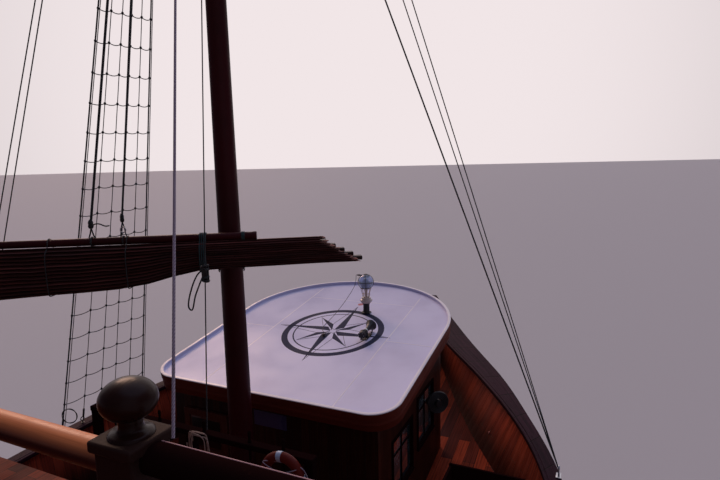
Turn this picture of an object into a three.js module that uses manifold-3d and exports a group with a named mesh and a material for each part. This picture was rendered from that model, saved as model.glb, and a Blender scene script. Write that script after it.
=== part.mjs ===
// A Chinese junk: a decked wooden cruising ship with three masts and furled, battened lug sails.
// Millimetres, +X to the bow, +Y to port, +Z up. The origin lies amidships, on the centreline,
// at the waterline. Sizes below are in metres, and the helper functions turn them into millimetres.

import * as THREE from "three";
import { mergeVertices } from "three/addons/utils/BufferGeometryUtils.js";
import Module from "manifold-3d";

const wasm = await Module();
wasm.setup();

const M = 1000;
const GAP = 0.0003;
const BEYOND = 1;
const DEG = Math.PI / 180;

// Driving dimensions.
const BOW_X = 16;
const STERN_X = -16;
const HULL_STATIONS = 30;
const BULWARK_THICK = 0.09;
const RAIL_THICK = 0.075;
const RAIL_OVERHANG = 0.05;
const DECK_Z = 2.0;
const UPPER_DECK = {
  aft: -14.6,
  fore: 7.1,
  half: 4.1,
  foreHalf: 3.85,
  sternHalf: 3.45,
  under: 3.88,
  top: 4.0,
};
const UPPER_DECK_STEPS = { sternFrom: -9.5, foreFrom: 3.5 };
const SUNDECK = { aft: -8.4, fore: 3.95, half: 3.55, wingHalf: 4.5, wingFrom: 1.6, under: 6.28, top: 6.4 };
const WALL = 0.08;

// Hull lines, in metres.
// x: station; keel: half-breadth and height of the bottom; bilge, chine: turns of the planking;
// deck: half-breadth and height of the deck edge; cap: the same for the cap rail; rail: its width.
const LINES = [
  [-16.0, [0.22, 0.5], [1.3, 0.62], [2.85, 1.15], [3.38, 2.5], [3.6, 3.95], 0.28],
  [-15.2, [0.22, 0.25], [1.4, 0.38], [3.0, 0.98], [3.52, 2.38], [3.75, 3.82], 0.28],
  [-13.5, [0.22, -0.12], [1.65, 0.08], [3.3, 0.78], [3.82, 2.14], [4.02, 3.52], 0.28],
  [-11.5, [0.22, -0.5], [2.0, -0.22], [3.65, 0.48], [4.12, DECK_Z], [4.3, 3.25], 0.28],
  [-10.0, [0.25, -1.25], [2.5, -0.75], [3.9, 0.2], [4.3, DECK_Z], [4.46, 3.12], 0.28],
  [-8.0, [0.25, -1.8], [2.9, -1.1], [4.15, 0.0], [4.48, DECK_Z], [4.63, 3.02], 0.28],
  [-5.0, [0.25, -1.95], [3.25, -1.3], [4.35, -0.1], [4.6, DECK_Z], [4.75, 2.96], 0.28],
  [0.0, [0.25, -1.95], [3.35, -1.35], [4.4, -0.1], [4.65, DECK_Z], [4.8, 2.95], 0.28],
  [4.0, [0.25, -1.9], [3.2, -1.3], [4.3, 0.0], [4.58, DECK_Z], [4.75, 3.03], 0.28],
  [7.5, [0.25, -1.75], [2.8, -1.2], [3.95, 0.1], [4.3, 2.23], [4.5, 3.33], 0.29],
  [10.1, [0.25, -1.35], [2.1, -0.85], [3.2, 0.35], [3.66, 2.58], [3.88, 3.69], 0.31],
  [12.4, [0.25, -0.6], [1.2, -0.2], [1.98, 0.95], [2.46, 2.93], [2.68, 4.02], 0.34],
  [14.0, [0.25, 0.45], [0.7, 0.78], [1.15, 1.6], [1.43, 3.16], [1.62, 4.25], 0.36],
  [15.0, [0.25, 1.3], [0.45, 1.5], [0.68, 2.2], [0.83, 3.31], [0.98, 4.4], 0.34],
  [16.0, [0.2, 2.4], [0.24, 2.55], [0.28, 2.85], [0.31, 3.45], [0.4, 4.54], 0.3],
].map(([x, keel, bilge, chine, deck, cap, rail]) => ({ x, keel, bilge, chine, deck, cap, rail }));

// Foredeck house and its canopy roof, whose plane climbs with the sheer.
const HOUSE = { aft: 8.78, fore: 11.7, half: 1.72, deckAft: 2.3 };
const ROOF = {
  aft: 8.563,
  half: 2.0,
  corner: 0.42,
  frontArc: 1.8,
  length: 4.42,
  thick: 0.05,
  z: 4.811,
  pitch: 8.2 * DEG,
};
const RIM = { wide: 0.05, high: 0.055 };
const FASCIA = { inset: 0.015, thick: 0.045, deep: 0.16 };

// Masts, in metres. x: place on the centreline; foot: where it stands; top; radii at foot and top;
// collar: the deck that its collar rests on.
const MASTS = [
  { name: "fore_mast", x: 8.195, foot: 2.34, top: 17.4, low: 0.17, high: 0.075 },
  { name: "main_mast", x: -2.6, foot: DECK_Z, top: 21.2, low: 0.23, high: 0.09, collar: SUNDECK.top },
  { name: "mizzen_mast", x: -11.9, foot: DECK_Z, top: 14.6, low: 0.15, high: 0.07, collar: UPPER_DECK.top },
];

// Furled sails, in metres, in a frame on the mast axis whose -X runs to the leech.
// yaw: turn about the mast; luff, leech: reach before and behind the mast; yard: its own reach;
// top, tuck, foot: heights of the bundle's top, of its underside at the mast and near the leech.
const SAILS = [
  ["fore", 0, -58 * DEG, 1.2, 4.05, [0.36, 4.2], [7.15, 6.8, 6.52]],
  ["main", 1, 0, 2.1, 6.6, [0.9, 6.9], [9.75, 9.25, 8.85]],
  ["mizzen", 2, 0, 0.9, 2.7, [0.3, 2.9], [7.35, 7.0, 6.75]],
].map(([name, mast, yaw, luff, leech, yard, [top, tuck, foot]]) => {
  return { name, mast, yaw, luff, leech, yard, top, tuck, foot };
});
const BATTENS = 5;
const BATTEN = { high: 0.062, step: 0.055, wide: 0.1, reach: 0.11 };
const CLOTH_WIDE = 0.27;
const PARREL = { thick: 0.022, clear: 0.0004, sides: 24 };
const YARD_RADIUS = 0.048;

const FINISH = {
  topside: { color: 0x5a2413, roughness: 0.4, metalness: 0 },
  varnish: { color: 0x5b1d1c, roughness: 0.2, metalness: 0 },
  bulwark: { color: 0x8a3d1e, roughness: 0.35, metalness: 0 },
  deck: { color: 0x9a4f26, roughness: 0.5, metalness: 0 },
  white: { color: 0xd9d7e0, roughness: 0.35, metalness: 0 },
  maroon: { color: 0x3a1512, roughness: 0.45, metalness: 0 },
  cloth: { color: 0x4a1512, roughness: 0.9, metalness: 0 },
  rope: { color: 0xb09b78, roughness: 0.9, metalness: 0 },
  tarred: { color: 0x1d2422, roughness: 0.8, metalness: 0 },
  steel: { color: 0xa8acb0, roughness: 0.3, metalness: 1 },
  bronze: { color: 0xa87c3c, roughness: 0.35, metalness: 1 },
  iron: { color: 0x22242a, roughness: 0.5, metalness: 0.6 },
  ring: { color: 0xc8401c, roughness: 0.5, metalness: 0 },
};

const junk = new THREE.Group();

// Geometry to solid and back.

function solid(geometry) {
  const bare = geometry.index ? geometry.toNonIndexed() : geometry.clone();
  bare.deleteAttribute("normal");
  bare.deleteAttribute("uv");
  const merged = mergeVertices(bare, 1e-3);
  return new wasm.Manifold(
    new wasm.Mesh({
      numProp: 3,
      vertProperties: merged.attributes.position.array,
      triVerts: new Uint32Array(merged.index.array),
    }),
  );
}

function geometryOf(body) {
  const mesh = body.getMesh();
  const geometry = new THREE.BufferGeometry();
  geometry.setAttribute("position", new THREE.BufferAttribute(mesh.vertProperties, 3));
  geometry.setIndex(new THREE.BufferAttribute(mesh.triVerts, 1));
  return geometry;
}

function add(name, body, finish, group = junk) {
  const material = new THREE.MeshStandardMaterial({ ...FINISH[finish], flatShading: true });
  const mesh = new THREE.Mesh(geometryOf(body), material);
  mesh.name = name;
  group.add(mesh);
  return mesh;
}

function join(bodies) {
  return bodies.reduce((whole, body) => whole.add(body));
}

// Plain shapes, in metres.

function box(x0, x1, y0, y1, z0, z1) {
  const geometry = new THREE.BoxGeometry((x1 - x0) * M, (y1 - y0) * M, (z1 - z0) * M);
  geometry.translate(((x0 + x1) / 2) * M, ((y0 + y1) / 2) * M, ((z0 + z1) / 2) * M);
  return solid(geometry);
}

// A round bar from one point to another, which may taper.
function rod(from, to, radius, sides = 8, radiusTo = radius) {
  const a = new THREE.Vector3(...from).multiplyScalar(M);
  const b = new THREE.Vector3(...to).multiplyScalar(M);
  const along = b.clone().sub(a);
  const geometry = new THREE.CylinderGeometry(radiusTo * M, radius * M, along.length(), sides);
  const up = new THREE.Vector3(0, 1, 0);
  geometry.applyQuaternion(new THREE.Quaternion().setFromUnitVectors(up, along.clone().normalize()));
  geometry.translate(...a.add(b).multiplyScalar(0.5).toArray());
  return solid(geometry);
}

function ring(centre, radius, thick, axis = "z", sides = 16) {
  const geometry = new THREE.TorusGeometry(radius * M, thick * M, 6, sides);
  if (axis === "x") geometry.rotateY(Math.PI / 2);
  if (axis === "y") geometry.rotateX(Math.PI / 2);
  geometry.translate(...centre.map((v) => v * M));
  return solid(geometry);
}

// A solid through rings of points with the same count, closed by a fan at both ends.
function loft(rings) {
  const count = rings[0].length;
  const points = rings.flat();
  const triangles = [];
  for (let r = 0; r + 1 < rings.length; r += 1) {
    for (let k = 0; k < count; k += 1) {
      const next = (k + 1) % count;
      const a = r * count + k;
      const b = r * count + next;
      triangles.push([a, b, b + count], [a, b + count, a + count]);
    }
  }
  for (const [start, turn] of [[0, 1], [(rings.length - 1) * count, 0]]) {
    for (let k = 1; k + 1 < count; k += 1) {
      triangles.push(turn ? [start, start + k + 1, start + k] : [start, start + k, start + k + 1]);
    }
  }
  const geometry = new THREE.BufferGeometry();
  const flat = triangles.flat().flatMap((index) => points[index].map((v) => v * M));
  geometry.setAttribute("position", new THREE.Float32BufferAttribute(flat, 3));
  const body = solid(geometry);
  if (body.volume() > 0) return body;
  return solid(flipped(geometry));
}

function flipped(geometry) {
  const position = geometry.attributes.position.array;
  for (let k = 0; k < position.length; k += 9) {
    for (let c = 0; c < 3; c += 1) {
      [position[k + 3 + c], position[k + 6 + c]] = [position[k + 6 + c], position[k + 3 + c]];
    }
  }
  return geometry;
}

// A shape in the XZ plane, carried from y0 to y1.
function slabY(outline, y0, y1) {
  return loft([y0, y1].map((y) => outline.map(([x, z]) => [x, y, z])));
}

// Hull lines between the stations: a cubic through each column that never overshoots.

function lineAt(column, x) {
  const xs = LINES.map((row) => row.x);
  const ys = LINES.map(column);
  const last = xs.length - 1;
  const k = Math.min(Math.max(xs.findIndex((v) => v > x) - 1, 0), last - 1);
  const at = x >= xs[last] ? last - 1 : k;
  const slope = (i) => (ys[i + 1] - ys[i]) / (xs[i + 1] - xs[i]);
  const tangent = (i) => {
    if (i === 0) return slope(0);
    if (i === last) return slope(last - 1);
    const [s, t] = [slope(i - 1), slope(i)];
    return s * t <= 0 ? 0 : (2 * s * t) / (s + t);
  };
  const span = xs[at + 1] - xs[at];
  const t = (x - xs[at]) / span;
  const [t2, t3] = [t * t, t * t * t];
  return (
    (2 * t3 - 3 * t2 + 1) * ys[at] +
    (t3 - 2 * t2 + t) * span * tangent(at) +
    (3 * t2 - 2 * t3) * ys[at + 1] +
    (t3 - t2) * span * tangent(at + 1)
  );
}

const deckZ = (x) => lineAt((row) => row.deck[1], x);
const capHalf = (x) => lineAt((row) => row.cap[0], x);
const capZ = (x) => lineAt((row) => row.cap[1], x);
const railWide = (x) => lineAt((row) => row.rail, x);

function stations(from, to, count) {
  return Array.from({ length: count + 1 }, (_, k) => from + ((to - from) * k) / count);
}

// Both sides of a section: the points of one side, then the same mirrored, in turn.
function bothSides(half) {
  return [...half, ...half.map(([x, y, z]) => [x, -y, z]).reverse()];
}

function hullSolid() {
  const rings = stations(STERN_X, BOW_X, HULL_STATIONS).map((x) => {
    const at = (key) => [x, lineAt((row) => row[key][0], x), lineAt((row) => row[key][1], x)];
    return bothSides([at("deck"), at("chine"), at("bilge"), at("keel")]);
  });
  return loft(rings);
}

// The space between two heights along the sheer, inside a half-breadth given at each height.
function sheerSolid(from, to, low, high) {
  return loft(
    stations(from, to, HULL_STATIONS).map((x) => {
      const [lowHalf, lowZ] = low(x);
      const [highHalf, highZ] = high(x);
      return bothSides([[x, highHalf, highZ], [x, lowHalf, lowZ]]);
    }),
  );
}

// Hull, keel and skeg.

const KEEL = { half: 0.14, under: -2.25, fore: 8.6, aft: -11.1, shoeAft: -14.1, shoeTop: -2.1 };
const PROPELLER = { x: -11.75, z: -1.15, radius: 0.62, hub: 0.12, hubHalf: 0.16, blades: 4 };
const RUDDER = { x: -13.3, fore: -12.75, aft: -14.35, top: -0.42, foot: -2.05, thick: 0.09, stock: 0.07 };
const WELL = { aft: -7.9, fore: -4.6, half: 1.25, floor: -0.9 };
const TRUNK = 0.1;

function hull() {
  const keel = slabY(
    [
      [KEEL.fore, KEEL.under + 0.5],
      [KEEL.fore - 0.9, KEEL.under],
      [KEEL.aft, KEEL.under],
      [KEEL.aft, -0.3],
      [KEEL.aft + 3, -0.3],
      [KEEL.fore, -1.2],
    ],
    -KEEL.half,
    KEEL.half,
  );
  const shoe = box(KEEL.shoeAft, KEEL.aft + 0.5, -0.07, 0.07, KEEL.under, KEEL.shoeTop);
  const well = box(WELL.aft, WELL.fore, -WELL.half, WELL.half, WELL.floor, DECK_Z + BEYOND);
  const trunk = rod([RUDDER.x, 0, -BEYOND], [RUDDER.x, 0, DECK_Z + BEYOND], TRUNK, 16);
  const hubFore = PROPELLER.x + PROPELLER.hubHalf + GAP;
  const bearing = rod([KEEL.aft + 0.1, 0, PROPELLER.z], [hubFore, 0, PROPELLER.z], 0.09, 12);
  const heelPin = rod([RUDDER.x, 0, KEEL.shoeTop - 0.02], [RUDDER.x, 0, RUDDER.foot - GAP], 0.04, 10);
  return join([hullSolid(), keel, shoe, bearing, heelPin]).subtract(well).subtract(trunk);
}

const hullBody = hull();
add("hull", hullBody, "topside");
const clearOfHull = solid(geometryOf(hullBody).translate(0, 0, GAP * M));

add(
  "engine_block",
  box(WELL.aft + 0.5, WELL.fore - 0.5, -0.55, 0.55, WELL.floor + GAP, WELL.floor + 1.35),
  "iron",
);

// Bulwarks and cap rail: an outer solid less an inner one, so the wall keeps its thickness.

const railUnder = (x) => capZ(x) - RAIL_THICK;
const bulwarkFoot = (x) => [lineAt((row) => row.deck[0], x), deckZ(x) + GAP];
const bulwarkHead = (x) => [capHalf(x) - RAIL_OVERHANG, railUnder(x) - GAP];
const innerFoot = (x) => [bulwarkFoot(x)[0] - BULWARK_THICK, deckZ(x) - 0.1];
const innerHead = (x) => [bulwarkHead(x)[0] - BULWARK_THICK, railUnder(x) + 0.1];
const STEM_THICK = 0.16;

add(
  "bulwarks",
  sheerSolid(STERN_X, BOW_X, bulwarkFoot, bulwarkHead).subtract(
    sheerSolid(STERN_X + BULWARK_THICK, BOW_X - STEM_THICK, innerFoot, innerHead),
  ),
  "bulwark",
);

const capRail = sheerSolid(
  STERN_X,
  BOW_X,
  (x) => [capHalf(x), railUnder(x)],
  (x) => [capHalf(x), capZ(x)],
).subtract(
  sheerSolid(
    STERN_X + 0.28,
    BOW_X - 0.45,
    (x) => [capHalf(x) - railWide(x), railUnder(x) - 0.1],
    (x) => [capHalf(x) - railWide(x), capZ(x) + 0.1],
  ),
);
add("cap_rail", capRail, "varnish");
const clearOfRail = (y, z) => solid(geometryOf(capRail).translate(0, y * M, z * M));

// Foredeck house under its canopy roof.

const roofZ = (x) => ROOF.z + (x - ROOF.aft) * Math.tan(ROOF.pitch);
const roofUnder = (x) => roofZ(x) - GAP;

function panelX(x, half, under, over, cuts) {
  const body = box(x, x + WALL, -half, half, under, over);
  const hole = ([y0, y1, z0, z1]) => box(x - BEYOND, x + BEYOND, y0, y1, z0, z1);
  return cuts.reduce((rest, cut) => rest.subtract(hole(cut)), body);
}

// Doors hang outside their doorways. thick: the leaf; play: its distance from the wall; lap: its
// overlap around the doorway. Each turns on pads of the wall behind one of its edges.
const DOOR_THICK = 0.05;
const DOOR_PLAY = 0.006;
const DOOR_LAP = 0.03;
const PAD_HALF = 0.06;

const padSpans = (foot, high) =>
  [0.2, 0.8].map((t) => [foot + t * high - PAD_HALF, foot + t * high + PAD_HALF]);

// Pads on a wall across X, from the wall's face at x outwards, beside the edge at y0 to y1.
function padsX(x, side, y0, y1, foot, high) {
  const out = x + side * (DOOR_PLAY - GAP);
  const [x0, x1] = side > 0 ? [x - 0.01, out] : [out, x + 0.01];
  return join(padSpans(foot, high).map(([z0, z1]) => box(x0, x1, y0, y1, z0, z1)));
}

function padsY(y, side, x0, x1, foot, high) {
  const out = y + side * (DOOR_PLAY - GAP);
  const [y0, y1] = side > 0 ? [y - 0.01, out] : [out, y + 0.01];
  return join(padSpans(foot, high).map(([z0, z1]) => box(x0, x1, y0, y1, z0, z1)));
}

const HOUSE_DOOR = { y0: 0.72, y1: 1.47, foot: 2.5, head: 4.35 };
const WINDOW_HOUSE = { sill: 3.35, head: 4.15, wide: 0.8, pitch: 1.1, first: 9.3, count: 2 };

function houseSide(side) {
  const inner = HOUSE.half - WALL;
  const [y0, y1] = side > 0 ? [inner, HOUSE.half] : [-HOUSE.half, -inner];
  const [a, f] = [HOUSE.aft + WALL + GAP, HOUSE.fore - WALL - GAP];
  const foot = HOUSE.deckAft - 0.3;
  let body = slabY([[a, foot], [f, foot], [f, roofUnder(f)], [a, roofUnder(a)]], y0, y1);
  for (let k = 0; k < WINDOW_HOUSE.count; k += 1) {
    const x = WINDOW_HOUSE.first + k * WINDOW_HOUSE.pitch;
    const lift = (x - WINDOW_HOUSE.first) * Math.tan(ROOF.pitch);
    const [sill, head] = [WINDOW_HOUSE.sill + lift, WINDOW_HOUSE.head + lift];
    body = body.subtract(box(x, x + WINDOW_HOUSE.wide, y0 - BEYOND, y1 + BEYOND, sill, head));
  }
  return body.subtract(clearOfHull);
}

function houseEnd(x, cuts) {
  const tall = panelX(x, HOUSE.half, HOUSE.deckAft - 0.3, roofUnder(x), cuts);
  return tall.subtract(clearOfHull);
}

const houseDoorHigh = HOUSE_DOOR.head - HOUSE_DOOR.foot;
const houseDoorEdge = [HOUSE_DOOR.y1, HOUSE_DOOR.y1 + DOOR_LAP];
add(
  "foredeck_house_aft_wall",
  houseEnd(HOUSE.aft, [[HOUSE_DOOR.y0, HOUSE_DOOR.y1, HOUSE_DOOR.foot, HOUSE_DOOR.head]]).add(
    padsX(HOUSE.aft, -1, ...houseDoorEdge, HOUSE_DOOR.foot, houseDoorHigh),
  ),
  "bulwark",
);
add(
  "foredeck_house_front_wall",
  houseEnd(HOUSE.fore - WALL, [[-1.2, -0.15, 3.75, 4.55], [0.15, 1.2, 3.75, 4.55]]),
  "bulwark",
);
add("foredeck_house_port_wall", houseSide(1), "bulwark");
add("foredeck_house_starboard_wall", houseSide(-1), "bulwark");

// The roof's outline in its own plane, from the aft edge forward, moved in by an inset.
function roofOutline(inset) {
  const half = ROOF.half - inset;
  const corner = ROOF.corner - inset;
  const straight = ROOF.length - ROOF.frontArc;
  const shape = new THREE.Shape();
  shape.moveTo((inset + corner) * M, -half * M);
  shape.lineTo(straight * M, -half * M);
  shape.absellipse(straight * M, 0, (ROOF.frontArc - inset) * M, half * M, -Math.PI / 2, Math.PI / 2);
  shape.lineTo((inset + corner) * M, half * M);
  shape.absarc((inset + corner) * M, (half - corner) * M, corner * M, Math.PI / 2, Math.PI);
  shape.absarc((inset + corner) * M, -(half - corner) * M, corner * M, Math.PI, 1.5 * Math.PI);
  return shape;
}

// A plate of that outline from one height to another above the roof's lower plane.
function roofPlate(inset, from, to) {
  const geometry = new THREE.ExtrudeGeometry(roofOutline(inset), {
    depth: (to - from) * M,
    bevelEnabled: false,
    curveSegments: 8,
  });
  geometry.translate(0, 0, from * M);
  geometry.rotateY(-ROOF.pitch);
  geometry.translate(ROOF.aft * M, 0, ROOF.z * M);
  return solid(geometry);
}

add(
  "canopy_roof",
  roofPlate(0, 0, ROOF.thick + RIM.high).subtract(roofPlate(RIM.wide, ROOF.thick, ROOF.thick + BEYOND)),
  "white",
);
add(
  "canopy_fascia",
  roofPlate(FASCIA.inset, -FASCIA.deep, -GAP).subtract(
    roofPlate(FASCIA.inset + FASCIA.thick, -FASCIA.deep - BEYOND, BEYOND),
  ),
  "maroon",
);

add(
  "foredeck_house_door",
  box(
    HOUSE.aft - DOOR_PLAY - DOOR_THICK,
    HOUSE.aft - DOOR_PLAY,
    HOUSE_DOOR.y0 - DOOR_LAP,
    HOUSE_DOOR.y1 + DOOR_LAP,
    HOUSE_DOOR.foot - 0.02,
    HOUSE_DOOR.head + 0.02,
  ),
  "varnish",
);

// Things on the roof. Their feet lie on its plane, and what stands on a foot stands upright.

// A point of the roof's own frame: u forward and w up from its aft edge, v to port, on its white top.
function roofPoint(u, v, w) {
  const [c, s] = [Math.cos(ROOF.pitch), Math.sin(ROOF.pitch)];
  const up = w + ROOF.thick;
  return [ROOF.aft + u * c - up * s, v, ROOF.z + u * s + up * c];
}

function onRoof(at, feet, upper) {
  const [x, y, z] = roofPoint(at.u, at.v, GAP);
  const place = (geometry) => solid(geometry.translate(x * M, y * M, z * M));
  return join([...feet.map((geometry) => place(geometry.rotateY(-ROOF.pitch))), ...upper.map(place)]);
}

function upright(radiusLow, radiusHigh, from, to, sides = 12) {
  const geometry = new THREE.CylinderGeometry(radiusHigh * M, radiusLow * M, (to - from) * M, sides);
  geometry.rotateX(Math.PI / 2);
  geometry.translate(0, 0, ((from + to) / 2) * M);
  return geometry;
}

const LAMP = { u: 2.998, v: -0.363, post: 0.2, collar: 0.3, head: 0.58, radius: 0.14, foot: 0.025 };
const LAMP_STUB = { radius: 0.014, long: 0.13 };
const CABLE = { radius: 0.004, lift: 0.12, reach: 0.17 };

const lampBall = new THREE.SphereGeometry(LAMP.radius * M, 16, 10);
lampBall.translate(0, 0, LAMP.head * M);
const stubRadius = LAMP_STUB.radius * M;
const lampStub = new THREE.CylinderGeometry(stubRadius, stubRadius, LAMP_STUB.long * M, 8);
lampStub.translate(0, (CABLE.reach - LAMP_STUB.long / 2) * M, (LAMP.head + CABLE.lift) * M);
add(
  "searchlight",
  onRoof(
    LAMP,
    [upright(0.09, 0.09, 0, LAMP.foot)],
    [
      upright(0.058, 0.058, LAMP.foot / 2, LAMP.post),
      upright(0.098, 0.098, LAMP.post - 0.01, LAMP.collar),
      upright(0.06, 0.09, LAMP.collar - 0.01, LAMP.head - LAMP.radius + 0.03),
      lampBall,
      lampStub,
    ],
  ),
  "steel",
);

const HORN = { u: 2.08, v: -0.76, length: 0.42, lift: 0.115 };
const hornPlate = new THREE.BoxGeometry(0.24 * M, 0.12 * M, 0.012 * M);
hornPlate.translate(0, 0, 0.006 * M);
const hornBell = new THREE.CylinderGeometry(0.05 * M, 0.095 * M, HORN.length * M, 12);
hornBell.rotateZ(-Math.PI / 2);
hornBell.translate(0.02 * M, 0, HORN.lift * M);
const hornFoot = new THREE.BoxGeometry(0.06 * M, 0.05 * M, HORN.lift * M);
hornFoot.translate(0, 0, (HORN.lift / 2 + 0.003) * M);
add("horn", onRoof(HORN, [hornPlate, hornFoot, hornBell], []), "iron");

const GLAND = { u: 1.917, v: -0.04, high: 0.05, mouth: 0.02 };
const glandCone = new THREE.CylinderGeometry(0.018 * M, 0.008 * M, 0.05 * M, 8);
glandCone.rotateZ(Math.PI / 2);
glandCone.translate(0.03 * M, 0, GLAND.mouth * M);
add("cable_gland", onRoof(GLAND, [upright(0.03, 0.022, 0, GLAND.high, 10), glandCone], []), "iron");

// The searchlight's cable, chosen by hand in the roof's frame: out of the lamp, down, and to the gland.
const CABLE_ROUTE = [
  [3.0978, -0.1925, 0.6931],
  [3.097, -0.168, 0.692],
  [3.087, -0.146, 0.68],
  [3.067, -0.133, 0.652],
  [3.03, -0.12, 0.603],
  [2.98, -0.1, 0.535],
  [2.92, -0.06, 0.448],
  [2.86, -0.014, 0.362],
  [2.79, 0.04, 0.27],
  [2.72, 0.1, 0.182],
  [2.65, 0.152, 0.105],
  [2.58, 0.192, 0.046],
  [2.51, 0.21, 0.013],
  [2.424, 0.203, 0.0048],
  [2.32, 0.166, 0.0048],
  [2.22, 0.125, 0.0048],
  [2.12, 0.078, 0.0048],
  [2.066, 0.03, 0.0055],
  [2.035, -0.008, 0.009],
  [2.006, -0.033, 0.016],
  [1.99, -0.0396, 0.0193],
  [1.9732, -0.04, 0.02],
];
const route = new THREE.CatmullRomCurve3(
  CABLE_ROUTE.map((point) => new THREE.Vector3(...roofPoint(...point)).multiplyScalar(M)),
);
const cableSection = new THREE.Shape();
cableSection.absarc(0, 0, CABLE.radius * M, 0, 2 * Math.PI);
add(
  "searchlight_cable",
  solid(new THREE.ExtrudeGeometry(cableSection, { steps: 76, extrudePath: route, curveSegments: 4 })),
  "iron",
);

// Cabins: flat wall panels that meet at the corners, with windows and doorways cut.

const LOWER = { aft: -11.0, fore: 6.6, half: 3.35, foot: DECK_Z, head: UPPER_DECK.under };
const UPPER = { aft: -8.0, fore: 3.45, half: 3.0, foot: UPPER_DECK.top, head: SUNDECK.under };

// Side windows of a cabin. first: aft edge of the aftmost; the doorway interrupts the row.
const WINDOWS = {
  lower: { first: -10.2, pitch: 1.45, count: 12, wide: 0.95, sill: 2.75, head: 3.5 },
  upper: { first: -7.4, pitch: 1.35, count: 8, wide: 0.95, sill: 4.85, head: 5.75 },
};
const DOOR = { wide: 0.85, high: 1.72, sill: 0.05 };

function sideWall(cabin, windows, side, doorAt) {
  const inner = cabin.half - WALL;
  const [y0, y1] = side > 0 ? [inner, cabin.half] : [-cabin.half, -inner];
  let body = box(cabin.aft + WALL + GAP, cabin.fore - WALL - GAP, y0, y1, cabin.foot + GAP, cabin.head - GAP);
  for (let k = 0; k < windows.count; k += 1) {
    const x = windows.first + k * windows.pitch;
    if (doorAt === undefined || x > doorAt + DOOR.wide + 0.1 || x + windows.wide < doorAt - 0.1) {
      body = body.subtract(box(x, x + windows.wide, y0 - BEYOND, y1 + BEYOND, windows.sill, windows.head));
    }
  }
  if (doorAt !== undefined) {
    const [low, high] = [cabin.foot + DOOR.sill, cabin.foot + DOOR.sill + DOOR.high];
    body = body.subtract(box(doorAt, doorAt + DOOR.wide, y0 - BEYOND, y1 + BEYOND, low, high));
  }
  return body.subtract(clearOfHull);
}

function endWall(cabin, x, cuts) {
  const body = panelX(x, cabin.half, cabin.foot + GAP, cabin.head - GAP, cuts);
  return body.subtract(clearOfHull);
}

const doorCut = (cabin, y) => [y, y + DOOR.wide, cabin.foot + DOOR.sill, cabin.foot + DOOR.sill + DOOR.high];
const LOWER_DOOR_Y = -0.425;
const AFT_DOOR_Y = 0.45;
const UPPER_DOOR_X = -0.9;
const FORE_FOOT = 0.26;
const FORE_HIGH = 1.55;
const foreDoorFoot = LOWER.foot + FORE_FOOT;
const aftDoorEdge = AFT_DOOR_Y + DOOR.wide;

add("lower_cabin_port_wall", sideWall(LOWER, WINDOWS.lower, 1), "bulwark");
add("lower_cabin_starboard_wall", sideWall(LOWER, WINDOWS.lower, -1), "bulwark");
add(
  "lower_cabin_front_wall",
  endWall(LOWER, LOWER.fore - WALL, [
    [LOWER_DOOR_Y, LOWER_DOOR_Y + DOOR.wide, foreDoorFoot, foreDoorFoot + FORE_HIGH],
    [-2.8, -1.5, WINDOWS.lower.sill, WINDOWS.lower.head],
    [1.5, 2.8, WINDOWS.lower.sill, WINDOWS.lower.head],
  ]).add(padsX(LOWER.fore, 1, LOWER_DOOR_Y - DOOR_LAP, LOWER_DOOR_Y, foreDoorFoot, FORE_HIGH)),
  "bulwark",
);
add(
  "lower_cabin_aft_wall",
  endWall(LOWER, LOWER.aft, [
    doorCut(LOWER, AFT_DOOR_Y),
    [-2.8, -1.5, WINDOWS.lower.sill, WINDOWS.lower.head],
    [1.6, 2.8, WINDOWS.lower.sill, WINDOWS.lower.head],
  ]).add(
    padsX(LOWER.aft, -1, aftDoorEdge, aftDoorEdge + DOOR_LAP, LOWER.foot + DOOR.sill, DOOR.high),
  ),
  "bulwark",
);
for (const [name, side] of [["port", 1], ["starboard", -1]]) {
  const edge = [UPPER_DOOR_X - DOOR_LAP, UPPER_DOOR_X];
  const pads = padsY(side * UPPER.half, side, ...edge, UPPER.foot + DOOR.sill, DOOR.high);
  add(`upper_cabin_${name}_wall`, sideWall(UPPER, WINDOWS.upper, side, UPPER_DOOR_X).add(pads), "bulwark");
}
add(
  "upper_cabin_front_wall",
  endWall(UPPER, UPPER.fore - WALL, [[-2.7, -1.0, 5.0, 5.85], [-0.8, 0.8, 5.0, 5.85], [1.0, 2.7, 5.0, 5.85]]),
  "bulwark",
);
add(
  "upper_cabin_aft_wall",
  endWall(UPPER, UPPER.aft, [
    doorCut(UPPER, LOWER_DOOR_Y),
    [-2.5, -1.3, WINDOWS.upper.sill, WINDOWS.upper.head],
    [1.3, 2.5, WINDOWS.upper.sill, WINDOWS.upper.head],
  ]).add(padsX(UPPER.aft, -1, LOWER_DOOR_Y - DOOR_LAP, LOWER_DOOR_Y, UPPER.foot + DOOR.sill, DOOR.high)),
  "bulwark",
);

// The cabins' doors.

// Both faces of a leaf beside a wall's face, the lower one first.
function leafAt(face, side) {
  const near = face + side * DOOR_PLAY;
  const far = near + side * DOOR_THICK;
  return side > 0 ? [near, far] : [far, near];
}

function doorX(x, side, y, foot, high = DOOR.high) {
  const [x0, x1] = leafAt(x, side);
  return box(x0, x1, y - DOOR_LAP, y + DOOR.wide + DOOR_LAP, foot + 0.01, foot + high + 0.01);
}

function doorY(y, side, x, foot) {
  const [y0, y1] = leafAt(y, side);
  return box(x - DOOR_LAP, x + DOOR.wide + DOOR_LAP, y0, y1, foot + 0.01, foot + DOOR.high + 0.01);
}

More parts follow.
